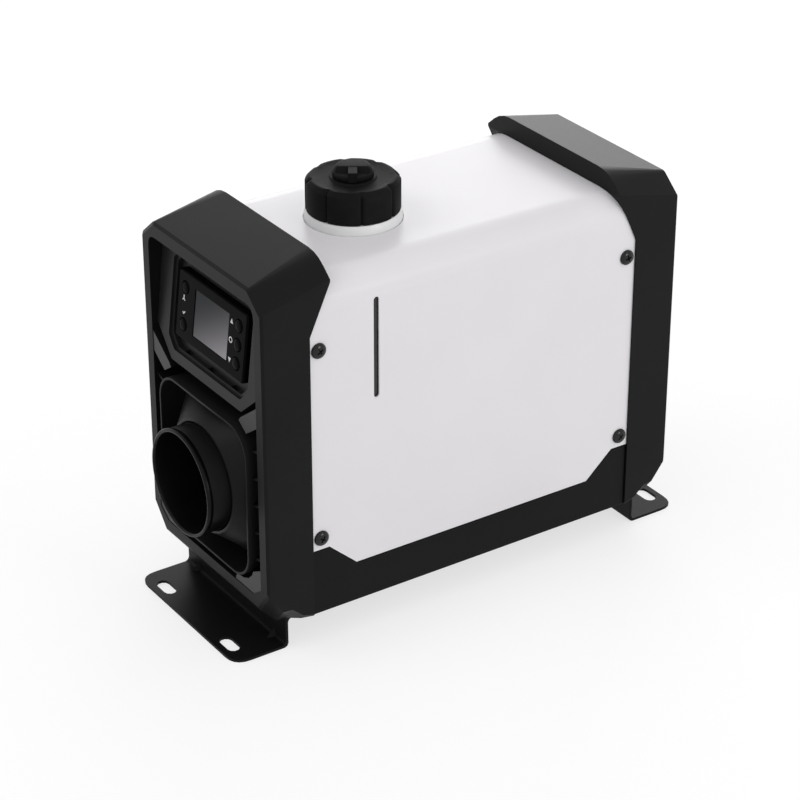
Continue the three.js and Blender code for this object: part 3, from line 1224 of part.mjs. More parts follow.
const blowerMotor = () => {
  const start = SCROLL_BACK + FIT_GAP;
  const bore = SHAFT_RADIUS + FIT_GAP;
  return turnedY([
    [bore, start], [MOTOR_RADIUS + 5, start], [MOTOR_RADIUS + 5, start + 3], [MOTOR_RADIUS, start + 3],
    [MOTOR_RADIUS, MOTOR_BACK - 3], [MOTOR_RADIUS - 3, MOTOR_BACK], [bore, MOTOR_BACK], [bore, start],
  ], 20);
};

const motorShaft = () => rodY(0, SCROLL_BACK - SCROLL_WALL - IMPELLER_LENGTH - 2, SHAFT_END,
  AIR_AXIS_HEIGHT, SHAFT_RADIUS, 12);

// Cabin-air fan: twisted blades on a domed hub
const cabinFan = () => {
  const bore = SHAFT_RADIUS + FIT_GAP;
  const hub = turnedY([
    [bore, FAN_FRONT], [FAN_HUB_RADIUS, FAN_FRONT], [FAN_HUB_RADIUS, FAN_FRONT + FAN_LENGTH - 5],
    [FAN_HUB_RADIUS - 5, FAN_FRONT + FAN_LENGTH - 0.5], [bore, FAN_FRONT + FAN_LENGTH - 0.5],
    [bore, FAN_FRONT],
  ], 18);
  const twist = THREE.MathUtils.degToRad(FAN_TWIST);
  const blade = (turn) => {
    const slices = 3;
    const rings = Array.from({ length: slices + 1 }, (_, i) => {
      const share = i / slices;
      const radius = THREE.MathUtils.lerp(FAN_HUB_RADIUS - 1, FAN_RADIUS, share);
      const pitch = Math.PI / 2 - THREE.MathUtils.lerp(twist * 0.6, twist * 1.3, share);
      const chord = THREE.MathUtils.lerp(9, 12.5, share);
      const sweep = turn + share * 0.22;
      const section = [[-chord, 0], [0, -1.1], [chord, 0], [0, 1.1]];
      return section.map(([u, v]) => {
        const along = (u * Math.sin(pitch) + v * Math.cos(pitch)) * 0.98;
        const depth = (u * Math.cos(pitch) - v * Math.sin(pitch)) * 0.72;
        const angle = sweep + along / radius;
        return [radius * Math.cos(angle), FAN_FRONT + FAN_LENGTH / 2 + depth,
          AIR_AXIS_HEIGHT + radius * Math.sin(angle)];
      });
    });
    return loft(rings);
  };
  const blades = Array.from({ length: FAN_BLADES }, (_, i) => blade((2 * Math.PI * i) / FAN_BLADES));
  return join(hub, ...blades);
};

// Ring-and-spoke guard that closes the rear of the core
const inletGuard = () => {
  const start = CORE_REAR + FIT_GAP;
  const end = start + 2.4;
  const frame = prismY(coreOutline(0), start, end,
    [circle(0, AIR_AXIS_HEIGHT, FAN_RADIUS + 2, 24).reverse()]);
  const pitch = (FAN_RADIUS + 2) / GUARD_RINGS;
  const rings = Array.from({ length: GUARD_RINGS - 1 }, (_, i) => {
    const radius = pitch * (i + 1);
    return turnedY([
      [radius - GUARD_BAR / 2, start], [radius + GUARD_BAR / 2, start], [radius + GUARD_BAR / 2, end],
      [radius - GUARD_BAR / 2, end], [radius - GUARD_BAR / 2, start],
    ], 16);
  });
  const spokes = [0, 1].map((turn) => box(-FAN_RADIUS - 3, FAN_RADIUS + 3, start, end,
    -GUARD_BAR / 2, GUARD_BAR / 2).rotateY((turn * Math.PI) / 2).translate(0, 0, AIR_AXIS_HEIGHT));
  return join(frame, ...rings, ...spokes);
};

// Control electronics, saddled over the motor
const controlUnit = () => {
  const start = SCROLL_BACK + CONTROL_MARGIN;
  const block = box(-CONTROL_WIDTH / 2, CONTROL_WIDTH / 2, start, MOTOR_BACK - CONTROL_MARGIN,
    AIR_AXIS_HEIGHT + CONTROL_SEAT, AIR_AXIS_HEIGHT + CORE_HALF_HEIGHT - CONTROL_HEADROOM);
  const saddle = rodY(0, start - 1, MOTOR_BACK, AIR_AXIS_HEIGHT, MOTOR_RADIUS + FIT_GAP, 20);
  return cut(block, saddle);
};

// ---------------------------------------------------------------- fuel pump and lines

const pumpPlace = () => [fuelOutlet()[0], HALF_LENGTH - COVER_WALL - PUMP_RADIUS - PUMP_CLEARANCE];
const pumpBase = () => FOOT_HEIGHT + PUMP_LIFT;

const fuelPump = () => {
  const low = pumpBase();
  const top = low + PUMP_LENGTH;
  const spigot = HOSE_RADIUS + 0.8;
  return turnedZ([
    [0, low - PUMP_SPIGOT], [spigot, low - PUMP_SPIGOT], [spigot, low], [PUMP_RADIUS - 3, low],
    [PUMP_RADIUS, low + 3], [PUMP_RADIUS, top - 3], [PUMP_RADIUS - 3, top], [spigot, top],
    [spigot, top + PUMP_SPIGOT], [0, top + PUMP_SPIGOT],
  ], 16).translate(...pumpPlace(), 0);
};

// Rubber-lined clip that holds the pump off the rear cover's floor
const pumpClamp = () => {
  const [x, y] = pumpPlace();
  const low = pumpBase() + 1;
  const high = low + CLAMP_LENGTH;
  const ring = prismZ(circle(x, y, PUMP_RADIUS + 2 * FIT_GAP + CLAMP_SHEET, 20), low, high,
    [circle(x, y, PUMP_RADIUS + 2 * FIT_GAP, 20).reverse()]);
  const wall = -COVER_HALF + COVER_WALL + FIT_GAP;
  const arm = box(wall, x - PUMP_RADIUS - 1.5, y - CLAMP_LENGTH / 2, y + CLAMP_LENGTH / 2, low, high);
  return join(ring, arm);
};

const suctionHose = () => {
  const [x, y] = fuelOutlet();
  const [pumpX, pumpY] = pumpPlace();
  const start = TANK_BOTTOM - 9 - FIT_GAP;
  const end = pumpBase() + PUMP_LENGTH + PUMP_SPIGOT + FIT_GAP;
  const bend = HOSE_BEND;
  return hose([
    [x, y, start], [x, y, start - bend], [x, y + bend, start - 2.2 * bend],
    [pumpX, pumpY - bend / 2, end + 2.2 * bend], [pumpX, pumpY, end + bend], [pumpX, pumpY, end],
  ], HOSE_RADIUS);
};

const feedHose = () => {
  const [x, y] = pumpPlace();
  const end = PEDESTAL_PLACE + PEDESTAL_LENGTH / 2 + FIT_GAP;
  const start = pumpBase() - PUMP_SPIGOT - FIT_GAP;
  const low = TRAY_FLOOR_TOP + 4 * HOSE_RADIUS;
  const inlet = low + HOSE_RADIUS;
  const bend = HOSE_BEND;
  return hose([
    [x, y, start], [x, y, start - bend],
    [x + bend / 2, y - 1.5 * bend, low], [x + 1.5 * bend, y - 4 * bend, low],
    [x + 3 * bend, end + 3 * bend, inlet], [x + 3.4 * bend, end + bend, inlet], [x + 3.4 * bend, end, inlet],
  ], HOSE_RADIUS);
};

// ---------------------------------------------------------------- screws and feet

// Pan-head screw with a cross recess, head towards +X, seat at x = 0
const screw = (length) => {
  const radius = SCREW_HEAD_RADIUS;
  const profile = [
    [0, -length], [SCREW_SHANK_RADIUS, -length + 2], [SCREW_SHANK_RADIUS, 0], [radius, 0],
    [radius - 0.5, 1.5], [radius - 2.4, SCREW_HEAD_HEIGHT], [0, SCREW_HEAD_HEIGHT],
  ];
  const body = turnedZ(profile, 8);
  const arm = radius * 0.48;
  const recess = [0, 1].map((turn) => box(-arm, arm, -0.6, 0.6, 0.9, SCREW_HEAD_HEIGHT + 1)
    .rotateZ((turn * Math.PI) / 2));
  return cut(body, ...recess).rotateY(Math.PI / 2);
};

const sideScrew = (side, place, height) => {
  const seated = screw(SIDE_SCREW_LENGTH).translate(PANEL_HALF + FIT_GAP, place, height);
  return side > 0 ? seated : seated.rotateZ(Math.PI).translate(0, 2 * place, 0);
};

const footScrew = (side, end) => screw(FOOT_SCREW_LENGTH)
  .rotateY(Math.PI / 2)
  .translate((side * FOOT_SCREW_SPACING) / 2, end * FOOT_SCREW_PLACE,
    FOOT_HEIGHT - FIT_GAP - FOOT_SHEET - FIT_GAP);

// Z-bent foot: a flange under the case, an upright web and a slotted plate on the floor
const foot = () => {
  const high = FOOT_HEIGHT - FIT_GAP;
  const web = FOOT_WEB_PLACE;
  const inside = web - FOOT_TOP_LENGTH;
  const sheet = FOOT_SHEET;
  const bend = FOOT_BEND_RADIUS;
  const section = [
    [inside, high - sheet], [web - sheet - bend, high - sheet],
    [web - sheet - bend / 3, high - sheet - bend / 3], [web - sheet, high - sheet - bend],
    [web - sheet, bend], [web - sheet + bend / 3, bend / 3],
    [web - sheet + bend, 0], [FOOT_REACH, 0], [FOOT_REACH, sheet], [web + bend, sheet],
    [web + bend / 3, sheet + bend / 3], [web, sheet + bend], [web, high - bend],
    [web - bend / 3, high - bend / 3], [web - bend, high], [inside, high],
  ];
  const half = FOOT_WIDTH / 2;
  const strip = prismX(section, -half, half);
  const plan = rounded(rectangle(-half, inside, half, FOOT_REACH),
    [4, 4, FOOT_CORNER_RADIUS, FOOT_CORNER_RADIUS], 5);
  const trimmed = common(strip, prismZ(plan, -1, high + 1));
  const slots = [-1, 1].map((side) => prismZ(slotOutline((side * FOOT_SLOT_SPACING) / 2, FOOT_SLOT_PLACE,
    FOOT_SLOT_LENGTH, FOOT_SLOT_WIDTH), -1, sheet + 1));
  const rib = (x, reach) => [
    [x, web - 0.5, sheet - 0.5], [x, web + reach, sheet - 0.5], [x, web - 0.5, sheet + reach],
  ];
  const gussets = [-1, 1].map((side) => {
    const x = (side * GUSSET_SPACING) / 2;
    return loft([rib(x - GUSSET_WIDTH / 2, 1), rib(x, GUSSET_REACH), rib(x + GUSSET_WIDTH / 2, 1)]);
  });
  return cut(join(trimmed, ...gussets), ...slots, ...footScrewHoles(1));
};

// ---------------------------------------------------------------- assembly

const finish = (color, roughness, metalness = 0) => ({ color, roughness, metalness });

const BLACK_PLASTIC = finish(0x262628, 0.55);
const CONSOLE_PLASTIC = finish(0x2b2c2e, 0.6);
const GLOSS_PLASTIC = finish(0x141416, 0.25);
const WHITE_PAINT = finish(0xe6e5e8, 0.35);
const BLACK_PAINT = finish(0x202024, 0.5);
const TANK_PLASTIC = finish(0xe4e6e6, 0.4);
const SMOKED_PLASTIC = finish(0x151518, 0.2);
const GLASS = finish(0x3c4248, 0.15);
const RUBBER = finish(0x1a1a1a, 0.85);
const ALUMINIUM = finish(0xb9bbbe, 0.45, 0.9);
const STEEL = finish(0x9a9ca0, 0.35, 0.9);
const SCREW_STEEL = finish(0x18181a, 0.3, 0.6);
const BOARD = finish(0x1f5a34, 0.6);

const heater = new THREE.Group();

const place = (name, geometry, material) => {
  const flat = geometry.index ? geometry.toNonIndexed() : geometry;
  flat.computeVertexNormals();
  const mesh = new THREE.Mesh(flat, new THREE.MeshStandardMaterial(material));
  mesh.name = name;
  heater.add(mesh);
};

place('base_tray', baseTray(), BLACK_PAINT);
place('body_cover', bodyCover(), WHITE_PAINT);
place('front_cover', frontCover(), BLACK_PLASTIC);
place('rear_cover', rearCover(), BLACK_PLASTIC);
place('level_window', levelWindow(), SMOKED_PLASTIC);
place('cable_grommet', cableGrommet(), RUBBER);

place('display_console', displayConsole(), CONSOLE_PLASTIC);
place('controller_case', controllerCase(), GLOSS_PLASTIC);
place('controller_back', controllerBack(), BLACK_PLASTIC);
place('controller_board', controllerBoard(), BOARD);
place('lcd_screen', screen(), GLASS);
buttonPlaces().forEach(([name, x, z]) => place(name, button(x, z), GLOSS_PLASTIC));

place('duct_bezel', ductBezel(), CONSOLE_PLASTIC);
place('outlet_spout', outletSpout(), BLACK_PLASTIC);
place('air_duct', airDuct(), BLACK_PLASTIC);

place('fuel_tank', fuelTank(), TANK_PLASTIC);
place('tank_shelf', tankShelf(), STEEL);
place('fuel_cap', fuelCap(), BLACK_PLASTIC);
place('cap_gasket', capGasket(), RUBBER);
place('cap_vent', capVent(), BLACK_PLASTIC);

place('core_shell_lower', coreShell(false), BLACK_PLASTIC);
place('core_shell_upper', coreShell(true), BLACK_PLASTIC);
place('heat_exchanger', heatExchanger(), ALUMINIUM);
place('base_gasket', baseGasket(), RUBBER);
place('exhaust_pipe', basePipe(-1), STEEL);
place('combustion_air_pipe', basePipe(1), ALUMINIUM);
place('burner', burner(), STEEL);
place('glow_plug', glowPlug(), STEEL);
place('scroll_housing', scrollHousing(), ALUMINIUM);
place('combustion_impeller', combustionImpeller(), ALUMINIUM);
place('blower_motor', blowerMotor(), STEEL);
place('motor_shaft', motorShaft(), STEEL);
place('cabin_fan', cabinFan(), BLACK_PLASTIC);
place('inlet_guard', inletGuard(), BLACK_PLASTIC);
place('control_unit', controlUnit(), BLACK_PLASTIC);

place('fuel_pump', fuelPump(), STEEL);
place('pump_clamp', pumpClamp(), RUBBER);
place('suction_hose', suctionHose(), RUBBER);
place('feed_hose', feedHose(), RUBBER);

const SIDES = [['left', -1], ['right', 1]];
const ENDS = [['front', -1], ['rear', 1]];
const LEVELS = [['low', SCREW_LOW], ['high', SCREW_HIGH]];

for (const [endName, end] of ENDS) {
  for (const [sideName, side] of SIDES) {
    for (const [levelName, height] of LEVELS) {
      const name = `screw_${endName}_${sideName}_${levelName}`;
      place(name, sideScrew(side, end * SCREW_PLACE, height), SCREW_STEEL);
    }
    place(`foot_screw_${endName}_${sideName}`, footScrew(side, end), SCREW_STEEL);
  }
}

place('front_foot', mirrored(foot(), 'y'), BLACK_PAINT);
place('rear_foot', foot(), BLACK_PAINT);

export default heater;
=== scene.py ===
"""Looks of the diesel air heater.

Surfaces, rounded shells, small marks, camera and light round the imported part.
"""

import math

import bmesh
import bpy
from mathutils import Matrix, Vector


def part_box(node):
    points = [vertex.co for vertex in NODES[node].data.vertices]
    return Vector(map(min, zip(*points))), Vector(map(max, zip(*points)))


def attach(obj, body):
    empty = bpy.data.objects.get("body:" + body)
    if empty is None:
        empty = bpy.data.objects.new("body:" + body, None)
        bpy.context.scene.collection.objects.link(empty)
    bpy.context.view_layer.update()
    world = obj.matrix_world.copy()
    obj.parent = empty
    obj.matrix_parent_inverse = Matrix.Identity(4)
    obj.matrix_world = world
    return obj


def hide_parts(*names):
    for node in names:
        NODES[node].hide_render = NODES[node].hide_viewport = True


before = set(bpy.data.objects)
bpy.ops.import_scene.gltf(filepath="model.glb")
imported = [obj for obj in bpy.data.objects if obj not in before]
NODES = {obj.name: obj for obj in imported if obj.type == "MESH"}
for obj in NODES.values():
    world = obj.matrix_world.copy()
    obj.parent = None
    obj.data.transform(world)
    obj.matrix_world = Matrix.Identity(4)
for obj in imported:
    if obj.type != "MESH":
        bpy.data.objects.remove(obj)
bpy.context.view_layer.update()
MM = 0.001

# ---------------------------------------------------------------- camera and light settings

CAMERA_AZIMUTH = math.radians(56.1)
CAMERA_ELEVATION = math.radians(28.4)
CAMERA_DISTANCE = 1928.3 * MM
CAMERA_TARGET = Vector((-6.8, -7.1, 118.2)) * MM
CAMERA_LENS = 120.58
CAMERA_SENSOR = 36

WORLD_STRENGTH = 0.74
WORLD_SEEN = 1.0
FLOOR_HALF = 12
FLOOR_DROP = 0.02 * MM
FLOOR_COLOR = (0.82, 0.82, 0.82)
FLOOR_SEEN = (0.36, 0.36, 0.36)
FLOOR_GLOW = 0.68

# ---------------------------------------------------------------- sizes of the solids, in metres

AIR_AXIS = (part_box("outlet_spout")[0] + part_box("outlet_spout")[1]) / 2
CAP_AXIS = (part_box("fuel_cap")[0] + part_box("fuel_cap")[1]) / 2
CONSOLE_TILT = math.radians(6.8)
CONSOLE_ORIGIN = Vector((0, -164.95, 225.8)) * MM
BUTTON_RADIUS = 4.4 * MM
CLEARANCE = 0.3 * MM

# ---------------------------------------------------------------- mesh and edge settings

WELD_DISTANCE = 0.01 * MM
FLAT_ANGLE = math.radians(0.6)
EDGE_ANGLE = math.radians(28.0)
EDGE_SEGMENTS = 2
BAKED_SHARP = math.radians(35)


# ---------------------------------------------------------------- materials

def mix_color(tree, factor, first, second):
    """From the first colour at factor 0 to the second at 1."""
    node = tree.nodes.new("ShaderNodeMix")
    node.data_type = "RGBA"
    node.inputs[6].default_value = (*first, 1)
    node.inputs[7].default_value = (*second, 1)
    tree.links.new(factor, node.inputs[0])
    return node.outputs[2]


def spread(tree, value, low, high, to_low, to_high):
    """Maps a value between low and high to the range between to_low and to_high."""
    node = tree.nodes.new("ShaderNodeMapRange")
    limits = {"From Min": low, "From Max": high, "To Min": to_low, "To Max": to_high}
    for name, number in limits.items():
        node.inputs[name].default_value = number
    tree.links.new(value, node.inputs["Value"])
    return node.outputs["Result"]


def noise(tree, place, scale, detail, roughness, stretch=(1, 1, 1)):
    mapping = tree.nodes.new("ShaderNodeMapping")
    mapping.inputs["Scale"].default_value = stretch
    tree.links.new(place, mapping.inputs["Vector"])
    node = tree.nodes.new("ShaderNodeTexNoise")
    node.inputs["Scale"].default_value = scale
    node.inputs["Detail"].default_value = detail
    node.inputs["Roughness"].default_value = roughness
    tree.links.new(mapping.outputs["Vector"], node.inputs["Vector"])
    return node.outputs["Fac"]


NOISE_MIDDLE = (0.3, 0.7)


def finish(name, dark, light, rough, metallic=0.0, level=0.5, grain=(900, 0.02, 0.2), blotch=18,
           stretch=(1, 1, 1)):
    """A moulded, painted or metal surface: two tones in soft blotches, uneven gloss and a fine bump.

    rough is the range of roughness, level the specular level, and blotch the scale per metre of the tones.
    grain is (scale per metre, height in millimetres, strength) of the bump, and stretch draws it out.
    """
    surface = bpy.data.materials.new(name)
    surface.use_nodes = True
    tree = surface.node_tree
    shader = tree.nodes["Principled BSDF"]
    place = tree.nodes.new("ShaderNodeTexCoord").outputs["Object"]
    tone = noise(tree, place, blotch, 4.0, 0.6)
    fine = noise(tree, place, grain[0], 2.0, 0.5, stretch)
    tint = mix_color(tree, spread(tree, tone, *NOISE_MIDDLE, 0, 1), dark, light)
    tree.links.new(tint, shader.inputs["Base Color"])
    tree.links.new(spread(tree, fine, *NOISE_MIDDLE, *rough), shader.inputs["Roughness"])
    bump = tree.nodes.new("ShaderNodeBump")
    height, strength = grain[1:]
    bump.inputs["Strength"].default_value = strength
    bump.inputs["Distance"].default_value = height * MM
    tree.links.new(fine, bump.inputs["Height"])
    tree.links.new(bump.outputs["Normal"], shader.inputs["Normal"])
    shader.inputs["Metallic"].default_value = metallic
    shader.inputs["Specular IOR Level"].default_value = level
    return surface


def grey(value, tint=(1, 1, 1)):
    """An even grey, or one with a slight tint."""
    return tuple(value * channel for channel in tint)


WHITE_PAINT = finish("white_paint", grey(0.80, (1, 0.975, 1.01)), grey(0.83, (1, 0.980, 1.01)),
                     (0.30, 0.36), level=0.22, grain=(1400, 0.010, 0.25), blotch=7)
BLACK_PAINT = finish("black_paint", grey(0.0045), grey(0.0070, (0.95, 0.97, 1.1)), (0.40, 0.50),
                     level=0.09, grain=(2200, 0.010, 0.3), blotch=14)
COVER_PLASTIC = finish("cover_plastic", grey(0.0055), grey(0.0080, (1, 1, 1.04)), (0.36, 0.44),
                       level=0.10, grain=(2600, 0.012, 0.35), blotch=16)
# Painted sheen: the cover plastic made paler and glossier for the front cover's corner plates, for the light
# they catch.
PLATE_PAINTED_SHEEN = finish("plate_painted_sheen", grey(0.036), grey(0.050), (0.36, 0.44), level=0.2,
                       grain=(2600, 0.012, 0.35), blotch=16)
CONSOLE_PLASTIC = finish("console_plastic", grey(0.011, (1, 0.99, 1.02)),
                         grey(0.016, (0.99, 0.99, 1.03)), (0.36, 0.44), level=0.16,
                         grain=(2600, 0.010, 0.3), blotch=20)
BEZEL_PLASTIC = finish("bezel_plastic", grey(0.0050, (0.97, 1, 1.02)), grey(0.0080, (0.96, 1, 1.03)),
                       (0.36, 0.44), level=0.12, grain=(2600, 0.010, 0.3), blotch=20)
CAP_PLASTIC = finish("cap_plastic", grey(0.0060), grey(0.0100), (0.50, 0.62), level=0.05,
                     grain=(1500, 0.03, 0.5), blotch=60)
GLOSS_PLASTIC = finish("gloss_plastic", grey(0.0018), grey(0.0028), (0.16, 0.24), level=0.02,
                       grain=(1800, 0.004, 0.2), blotch=40)
SPOUT_PLASTIC = finish("spout_plastic", grey(0.0022), grey(0.0040), (0.28, 0.36), level=0.12,
                       grain=(1600, 0.012, 0.3), blotch=30)
TANK_PLASTIC = finish("tank_plastic", grey(0.76, (0.98, 1, 1)), grey(0.82), (0.30, 0.40), level=0.5,
                      grain=(700, 0.02, 0.3), blotch=25)
RUBBER = finish("rubber", grey(0.008), grey(0.013), (0.65, 0.8), level=0.3, grain=(1200, 0.03, 0.5),
                blotch=40)
# Painted shade: a near-black strip behind the level slot keeps the slot as dark as its shade; a tinted
# window there is only a guess.
SLOT_PAINTED_SHADE = finish("smoked_plastic", grey(0.004), grey(0.008), (0.12, 0.2), grain=(900, 0.004, 0.2))
SCREW_STEEL = finish("black_screw", grey(0.004), grey(0.009), (0.10, 0.18), level=0.3,
                     grain=(2500, 0.006, 0.3), blotch=200)
STEEL = finish("plain_steel", grey(0.36), grey(0.45), (0.3, 0.45), metallic=1.0, grain=(1200, 0.01, 0.3),
               blotch=60, stretch=(1, 0.1, 1))
ALUMINIUM = finish("cast_aluminium", grey(0.48), grey(0.58), (0.45, 0.6), metallic=1.0,
                   grain=(1400, 0.04, 0.6), blotch=50)
BOARD = finish("circuit_board", (0.01, 0.08, 0.03), (0.015, 0.12, 0.04), (0.3, 0.4), blotch=80)
PRINT = finish("white_print", grey(0.62), grey(0.70), (0.5, 0.6), grain=(3000, 0.005, 0.2), blotch=300)

# Painted reflection on the switched-off display: a base colour from dark in the top left corner to pale
# grey-lavender.
SCREEN_PAINTED_REFLECTION_DARK = (0.005, 0.007, 0.009)
SCREEN_PAINTED_REFLECTION_PALE = (0.36, 0.34, 0.365)
SCREEN_PAINTED_REFLECTION_ACROSS_SHARE = 0.75
SCREEN_PAINTED_REFLECTION_FADE = (0.2, 1.7)
SCREEN_PAINTED_REFLECTION_POWER = 2.0


def screen_with_painted_reflection():
    """The display, switched off: a grey-lavender painted reflection that fades to dark in its top left
    corner.
    """
    surface = finish("screen_glass", grey(0.05), grey(0.06), (0.08, 0.14), level=0.1,
                     grain=(800, 0.002, 0.1))
    tree = surface.node_tree
    shader = tree.nodes["Principled BSDF"]
    place = tree.nodes.new("ShaderNodeTexCoord").outputs["Object"]
    split = tree.nodes.new("ShaderNodeSeparateXYZ")
    tree.links.new(place, split.inputs[0])
    low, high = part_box("lcd_screen")
    across = spread(tree, split.outputs["X"], low.x, high.x, 0, 1)
    down = spread(tree, split.outputs["Z"], high.z, low.z, 0, 1)
    total = tree.nodes.new("ShaderNodeMath")
    total.operation = "MULTIPLY_ADD"
    total.inputs[1].default_value = SCREEN_PAINTED_REFLECTION_ACROSS_SHARE
    tree.links.new(across, total.inputs[0])
    tree.links.new(down, total.inputs[2])
    bend = tree.nodes.new("ShaderNodeMath")
    bend.operation = "POWER"
    bend.inputs[1].default_value = SCREEN_PAINTED_REFLECTION_POWER
    tree.links.new(spread(tree, total.outputs[0], *SCREEN_PAINTED_REFLECTION_FADE, 0, 1), bend.inputs[0])
    # The painted reflection goes into the base colour.
    tint = mix_color(tree, bend.outputs[0], SCREEN_PAINTED_REFLECTION_DARK, SCREEN_PAINTED_REFLECTION_PALE)
    tree.links.new(tint, shader.inputs["Base Color"])
    return surface


SCREEN_WITH_PAINTED_REFLECTION = screen_with_painted_reflection()


# ---------------------------------------------------------------- meshes

def make(name, points, faces, surface, body, sharp=30.0):
    """A smooth-shaded piece with its sharp edges marked, on its body."""
    mesh = bpy.data.meshes.new(name)
    mesh.from_pydata([tuple(p) for p in points], [], faces)
    mesh.validate()
    mesh.polygons.foreach_set("use_smooth", [True] * len(mesh.polygons))
    mesh.set_sharp_from_angle(angle=math.radians(sharp))
    mesh.materials.append(surface)
    piece = bpy.data.objects.new(name, mesh)
    bpy.context.scene.collection.objects.link(piece)
    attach(piece, body)
    return piece


def ring_faces(rings, count, closed_stack):
    """Quads between rings of count points each, and from the last ring to the first in a closed stack."""
    faces = []
    total = rings if closed_stack else rings - 1
    for ring in range(total):
        after = (ring + 1) % rings
        for i in range(count):
            j = (i + 1) % count
            faces.append((ring * count + i, ring * count + j, after * count + j, after * count + i))
    return faces


def turned(name, profile, origin, axis, surface, body, sharp, steps=96):
    """A solid of revolution. profile is [radius, along]; it closes on itself or runs from axis to axis."""
    on_axis = profile[0][0] == 0
    walls = profile[1:-1] if on_axis else profile
    points = []
    for radius, along in walls:
        for i in range(steps):
            angle = 2 * math.pi * i / steps
            u, v = radius * math.cos(angle), radius * math.sin(angle)
            points.append(Vector((u, along, v) if axis == "Y" else (u, v, along)) + origin)
    faces = ring_faces(len(walls), steps, not on_axis)
    if on_axis:
        for along, ring in ((profile[0][1], 0), (profile[-1][1], len(walls) - 1)):
            hub = len(points)
            points.append(Vector((0, along, 0) if axis == "Y" else (0, 0, along)) + origin)
            base = ring * steps
            faces += [(hub, base + i, base + (i + 1) % steps) for i in range(steps)]
    piece = make(name, points, faces, surface, body, sharp)
    outward(piece)
    return piece


def outward(piece):
    """Turns every face of a closed mesh outwards."""
    work = bmesh.new()
    work.from_mesh(piece.data)
    bmesh.ops.recalc_face_normals(work, faces=work.faces)
    work.to_mesh(piece.data)
    work.free()


def round_edges(piece, width):
    """A small bevel on every edge that turns sharply, with shading led by the large faces."""
    bevel = piece.modifiers.new("rounded_edges", "BEVEL")
    bevel.width = width
    bevel.segments = EDGE_SEGMENTS
    bevel.limit_method = "ANGLE"
    bevel.angle_limit = EDGE_ANGLE
    bevel.use_clamp_overlap = True
    bevel.miter_outer = "MITER_ARC"
    bevel.harden_normals = False
    shade = piece.modifiers.new("even_shading", "WEIGHTED_NORMAL")
    shade.keep_sharp = False
    shade.weight = 60


# Their facets stay apart: a face with a window in it is filled across the window once its facets are joined.
WINDOWED = ("controller_case", "lcd_screen")


def dress(node, surface, edge):
    """Gives a CAD node its material and, by modifiers alone, rounded edges, or crisp ones if edge is 0."""
    piece = NODES[node]
    piece.data.materials.clear()
    piece.data.materials.append(surface)
    if piece.data.has_custom_normals:
        attribute = piece.data.attributes.get("custom_normal")
        if attribute:
            piece.data.attributes.remove(attribute)
    piece.data.polygons.foreach_set("use_smooth", [True] * len(piece.data.polygons))
    piece.data.polygons.foreach_set("material_index", [0] * len(piece.data.polygons))
    weld = piece.modifiers.new("joined_corners", "WELD")
    weld.merge_threshold = WELD_DISTANCE
    if node not in WINDOWED:
        flat = piece.modifiers.new("whole_faces", "DECIMATE")
        flat.decimate_type = "DISSOLVE"
        flat.angle_limit = FLAT_ANGLE
    if edge > 0:
        round_edges(piece, edge)
    else:
        crisp = piece.modifiers.new("crisp_edges", "EDGE_SPLIT")
        crisp.split_angle = EDGE_ANGLE


# ---------------------------------------------------------------- pieces that replace plain solids

def outlet_spout():
    """Round tube with a rolled bead at its mouth."""
    low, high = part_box("outlet_spout")
    front, back = low.y, high.y
    bead = (high.x - low.x) / 2
    bead_height, wall = 0.5 * MM, 2.4 * MM
    outer = bead - bead_height
    inner = outer - wall
    groove = outer - 0.3 * MM
    lip = [(inner + 0.4 * MM, front + 0.5 * MM), (inner + 1.0 * MM, front + 0.1 * MM),
           (bead - 1.1 * MM, front), (bead - 0.35 * MM, front + 0.3 * MM), (bead, front + 1.0 * MM),
           (bead, front + 2.8 * MM), (bead - 0.2 * MM, front + 3.5 * MM), (groove, front + 4.1 * MM),
           (groove, front + 4.8 * MM), (outer, front + 5.4 * MM)]
    tube = [(outer, back), (inner, back), (inner, front + 1.6 * MM)]
    piece = turned("warm_air_spout", lip + tube, Vector((0, 0, AIR_AXIS.z)), "Y", SPOUT_PLASTIC, "case",
                   sharp=50)
    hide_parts("outlet_spout")


def rounded_square(half, corner, angle):
    """Distance from the middle to a rounded square's edge in a direction."""
    reach = half / max(abs(math.cos(angle)), abs(math.sin(angle)))
    x, z = abs(reach * math.cos(angle)), abs(reach * math.sin(angle))
    inner = half - corner
    if x <= inner or z <= inner:
        return reach
    along = abs(math.cos(angle)) * inner + abs(math.sin(angle)) * inner
    return along + math.sqrt(max(along * along - (inner * inner + inner * inner - corner * corner), 0))


